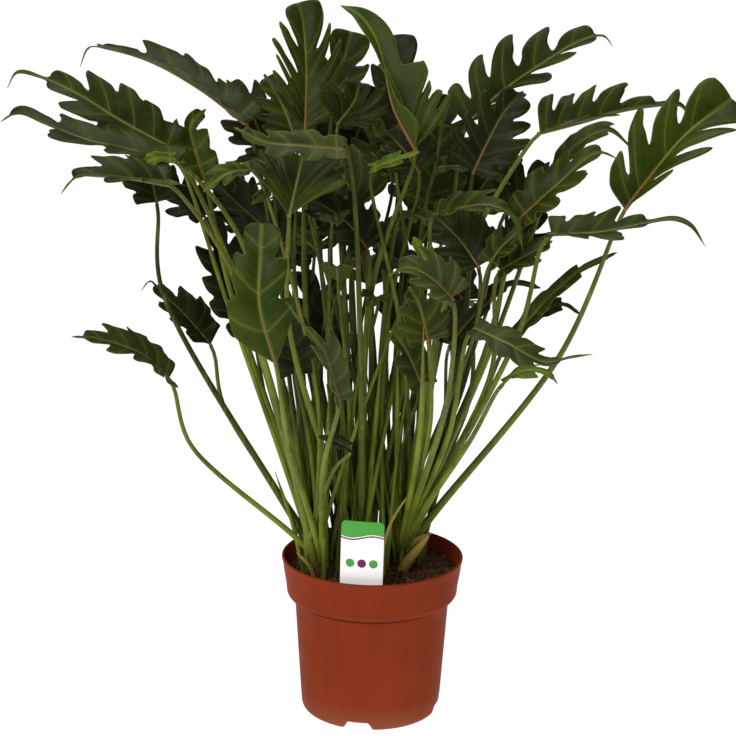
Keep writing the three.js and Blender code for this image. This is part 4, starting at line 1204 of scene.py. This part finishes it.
def low_leaves():
    """Rows of the small leaves, each leaning out of its crown across its neighbours."""
    rng = random.Random(29)
    rows = []
    for crown, (cx, cy) in CROWNS.items():
        for i in range(LOW["each"]):
            heading = math.radians(LOW["turn"] * i + rng.uniform(-18, 18) + 40 * len(crown))
            reach, height = rng.uniform(*LOW["reach"]), rng.uniform(*LOW["height"])
            dx, dy = polar(reach, heading)
            base = np.array((cx + dx, cy + dy, height))
            lean = heading + math.radians(rng.uniform(-50, 50))
            out = np.array((*polar(1, lean), rng.uniform(-0.1, 0.7)))
            length = rng.uniform(*LOW["length"])
            rib = [base, base + 0.5 * length * out, base + length * (out - (0, 0, 0.25))]
            across = heading + math.radians(rng.choice((-110, 110)))
            ax, ay = polar(LOW["aside"], across)
            via = (cx + 0.4 * dx + ax, cy + 0.4 * dy + ay, lerp(SOIL_LEVEL, height, 0.45))
            tone = rng.choice(("dark", "deep", "deep", "bright"))
            half = rng.uniform(0.24, 0.34) * length
            rows.append((f"low_{crown}_{i + 1}", crown, tone, half, 4, 30, via, rib, {"bay": 0.8}))
    return rows


def leaf_row(row, extra=False):
    """A row's values by name; extra ones have no solid of their own."""
    keys = ("name", "crown", "tone", "half", "lobes", "face", "via", "rib")
    return {**SHAPE, **dict(zip(keys, row)), **row[-1], "extra": extra}


# ---- Stage ----

def make_camera():
    data = bpy.data.cameras.new("camera")
    data.sensor_width = 36.0
    data.lens = data.sensor_width * CAMERA["focal"] / CAMERA["image"]
    data.clip_end = 100.0
    camera = add_object("camera", data)
    turn = Matrix.Rotation(math.radians(90 - CAMERA["pitch"]), 4, "X")
    turn = turn @ Matrix.Rotation(math.radians(CAMERA["roll"]), 4, "Z")
    camera.matrix_world = Matrix.Translation(Vector(CAMERA["place"]) * MM) @ turn
    bpy.context.scene.camera = camera


def soft_light(name, place, aim, size, watts):
    data = bpy.data.lights.new(name, "AREA")
    data.shape = "DISK"
    data.size = size
    data.energy = watts
    light = add_object(name, data)
    light.location = place
    light.rotation_euler = (Vector(aim) - Vector(place)).to_track_quat("-Z", "Y").to_euler()


def make_sky():
    """Even light from all round, stronger near the horizon than from above."""
    world = bpy.data.worlds.new("studio")
    bpy.context.scene.world = world
    s = Shader(world)
    height = s.parts(s.node("ShaderNodeTexCoord").outputs["Generated"])[2]
    inputs = dict(enumerate((height, *SKY["heights"], *SKY["strengths"])))
    strength = s.node("ShaderNodeMapRange", inputs).outputs[0]
    sky = s.node("ShaderNodeBackground", {"Strength": strength})
    s.node("ShaderNodeOutputWorld", {0: sky.outputs[0]})


def make_stage():
    corners = [(x * FLOOR_REACH, y * FLOOR_REACH, 0) for x, y in ((-1, -1), (1, -1), (1, 1), (-1, 1))]
    data = bpy.data.meshes.new("floor")
    data.from_pydata(corners, [], [(0, 1, 2, 3)])
    data.materials.append(floor_material())
    add_object("floor", data)
    for row in LIGHTS:
        soft_light(*row)
    make_sky()
    bpy.context.scene.view_settings.view_transform = "Standard"


# ---- Assembly ----

make_camera()
make_stage()

BLADE_MATERIALS = {tone: blade_material(tone) for tone in TONES}
RIB_MATERIAL = rib_material()
STALK_MATERIAL = stalk_material()
SOIL_MATERIAL = soil_material()
ALL_LEAVES = [leaf_row(row) for row in [*LEAVES, *back_leaves()]]
ALL_LEAVES += [leaf_row(row, extra=True) for row in [*FILL, *low_leaves()]]

make_pot()
make_soil()
make_tag()
for crown_name in CROWNS:
    make_stems(crown_name)
for one_leaf in ALL_LEAVES:
    make_blade(one_leaf)
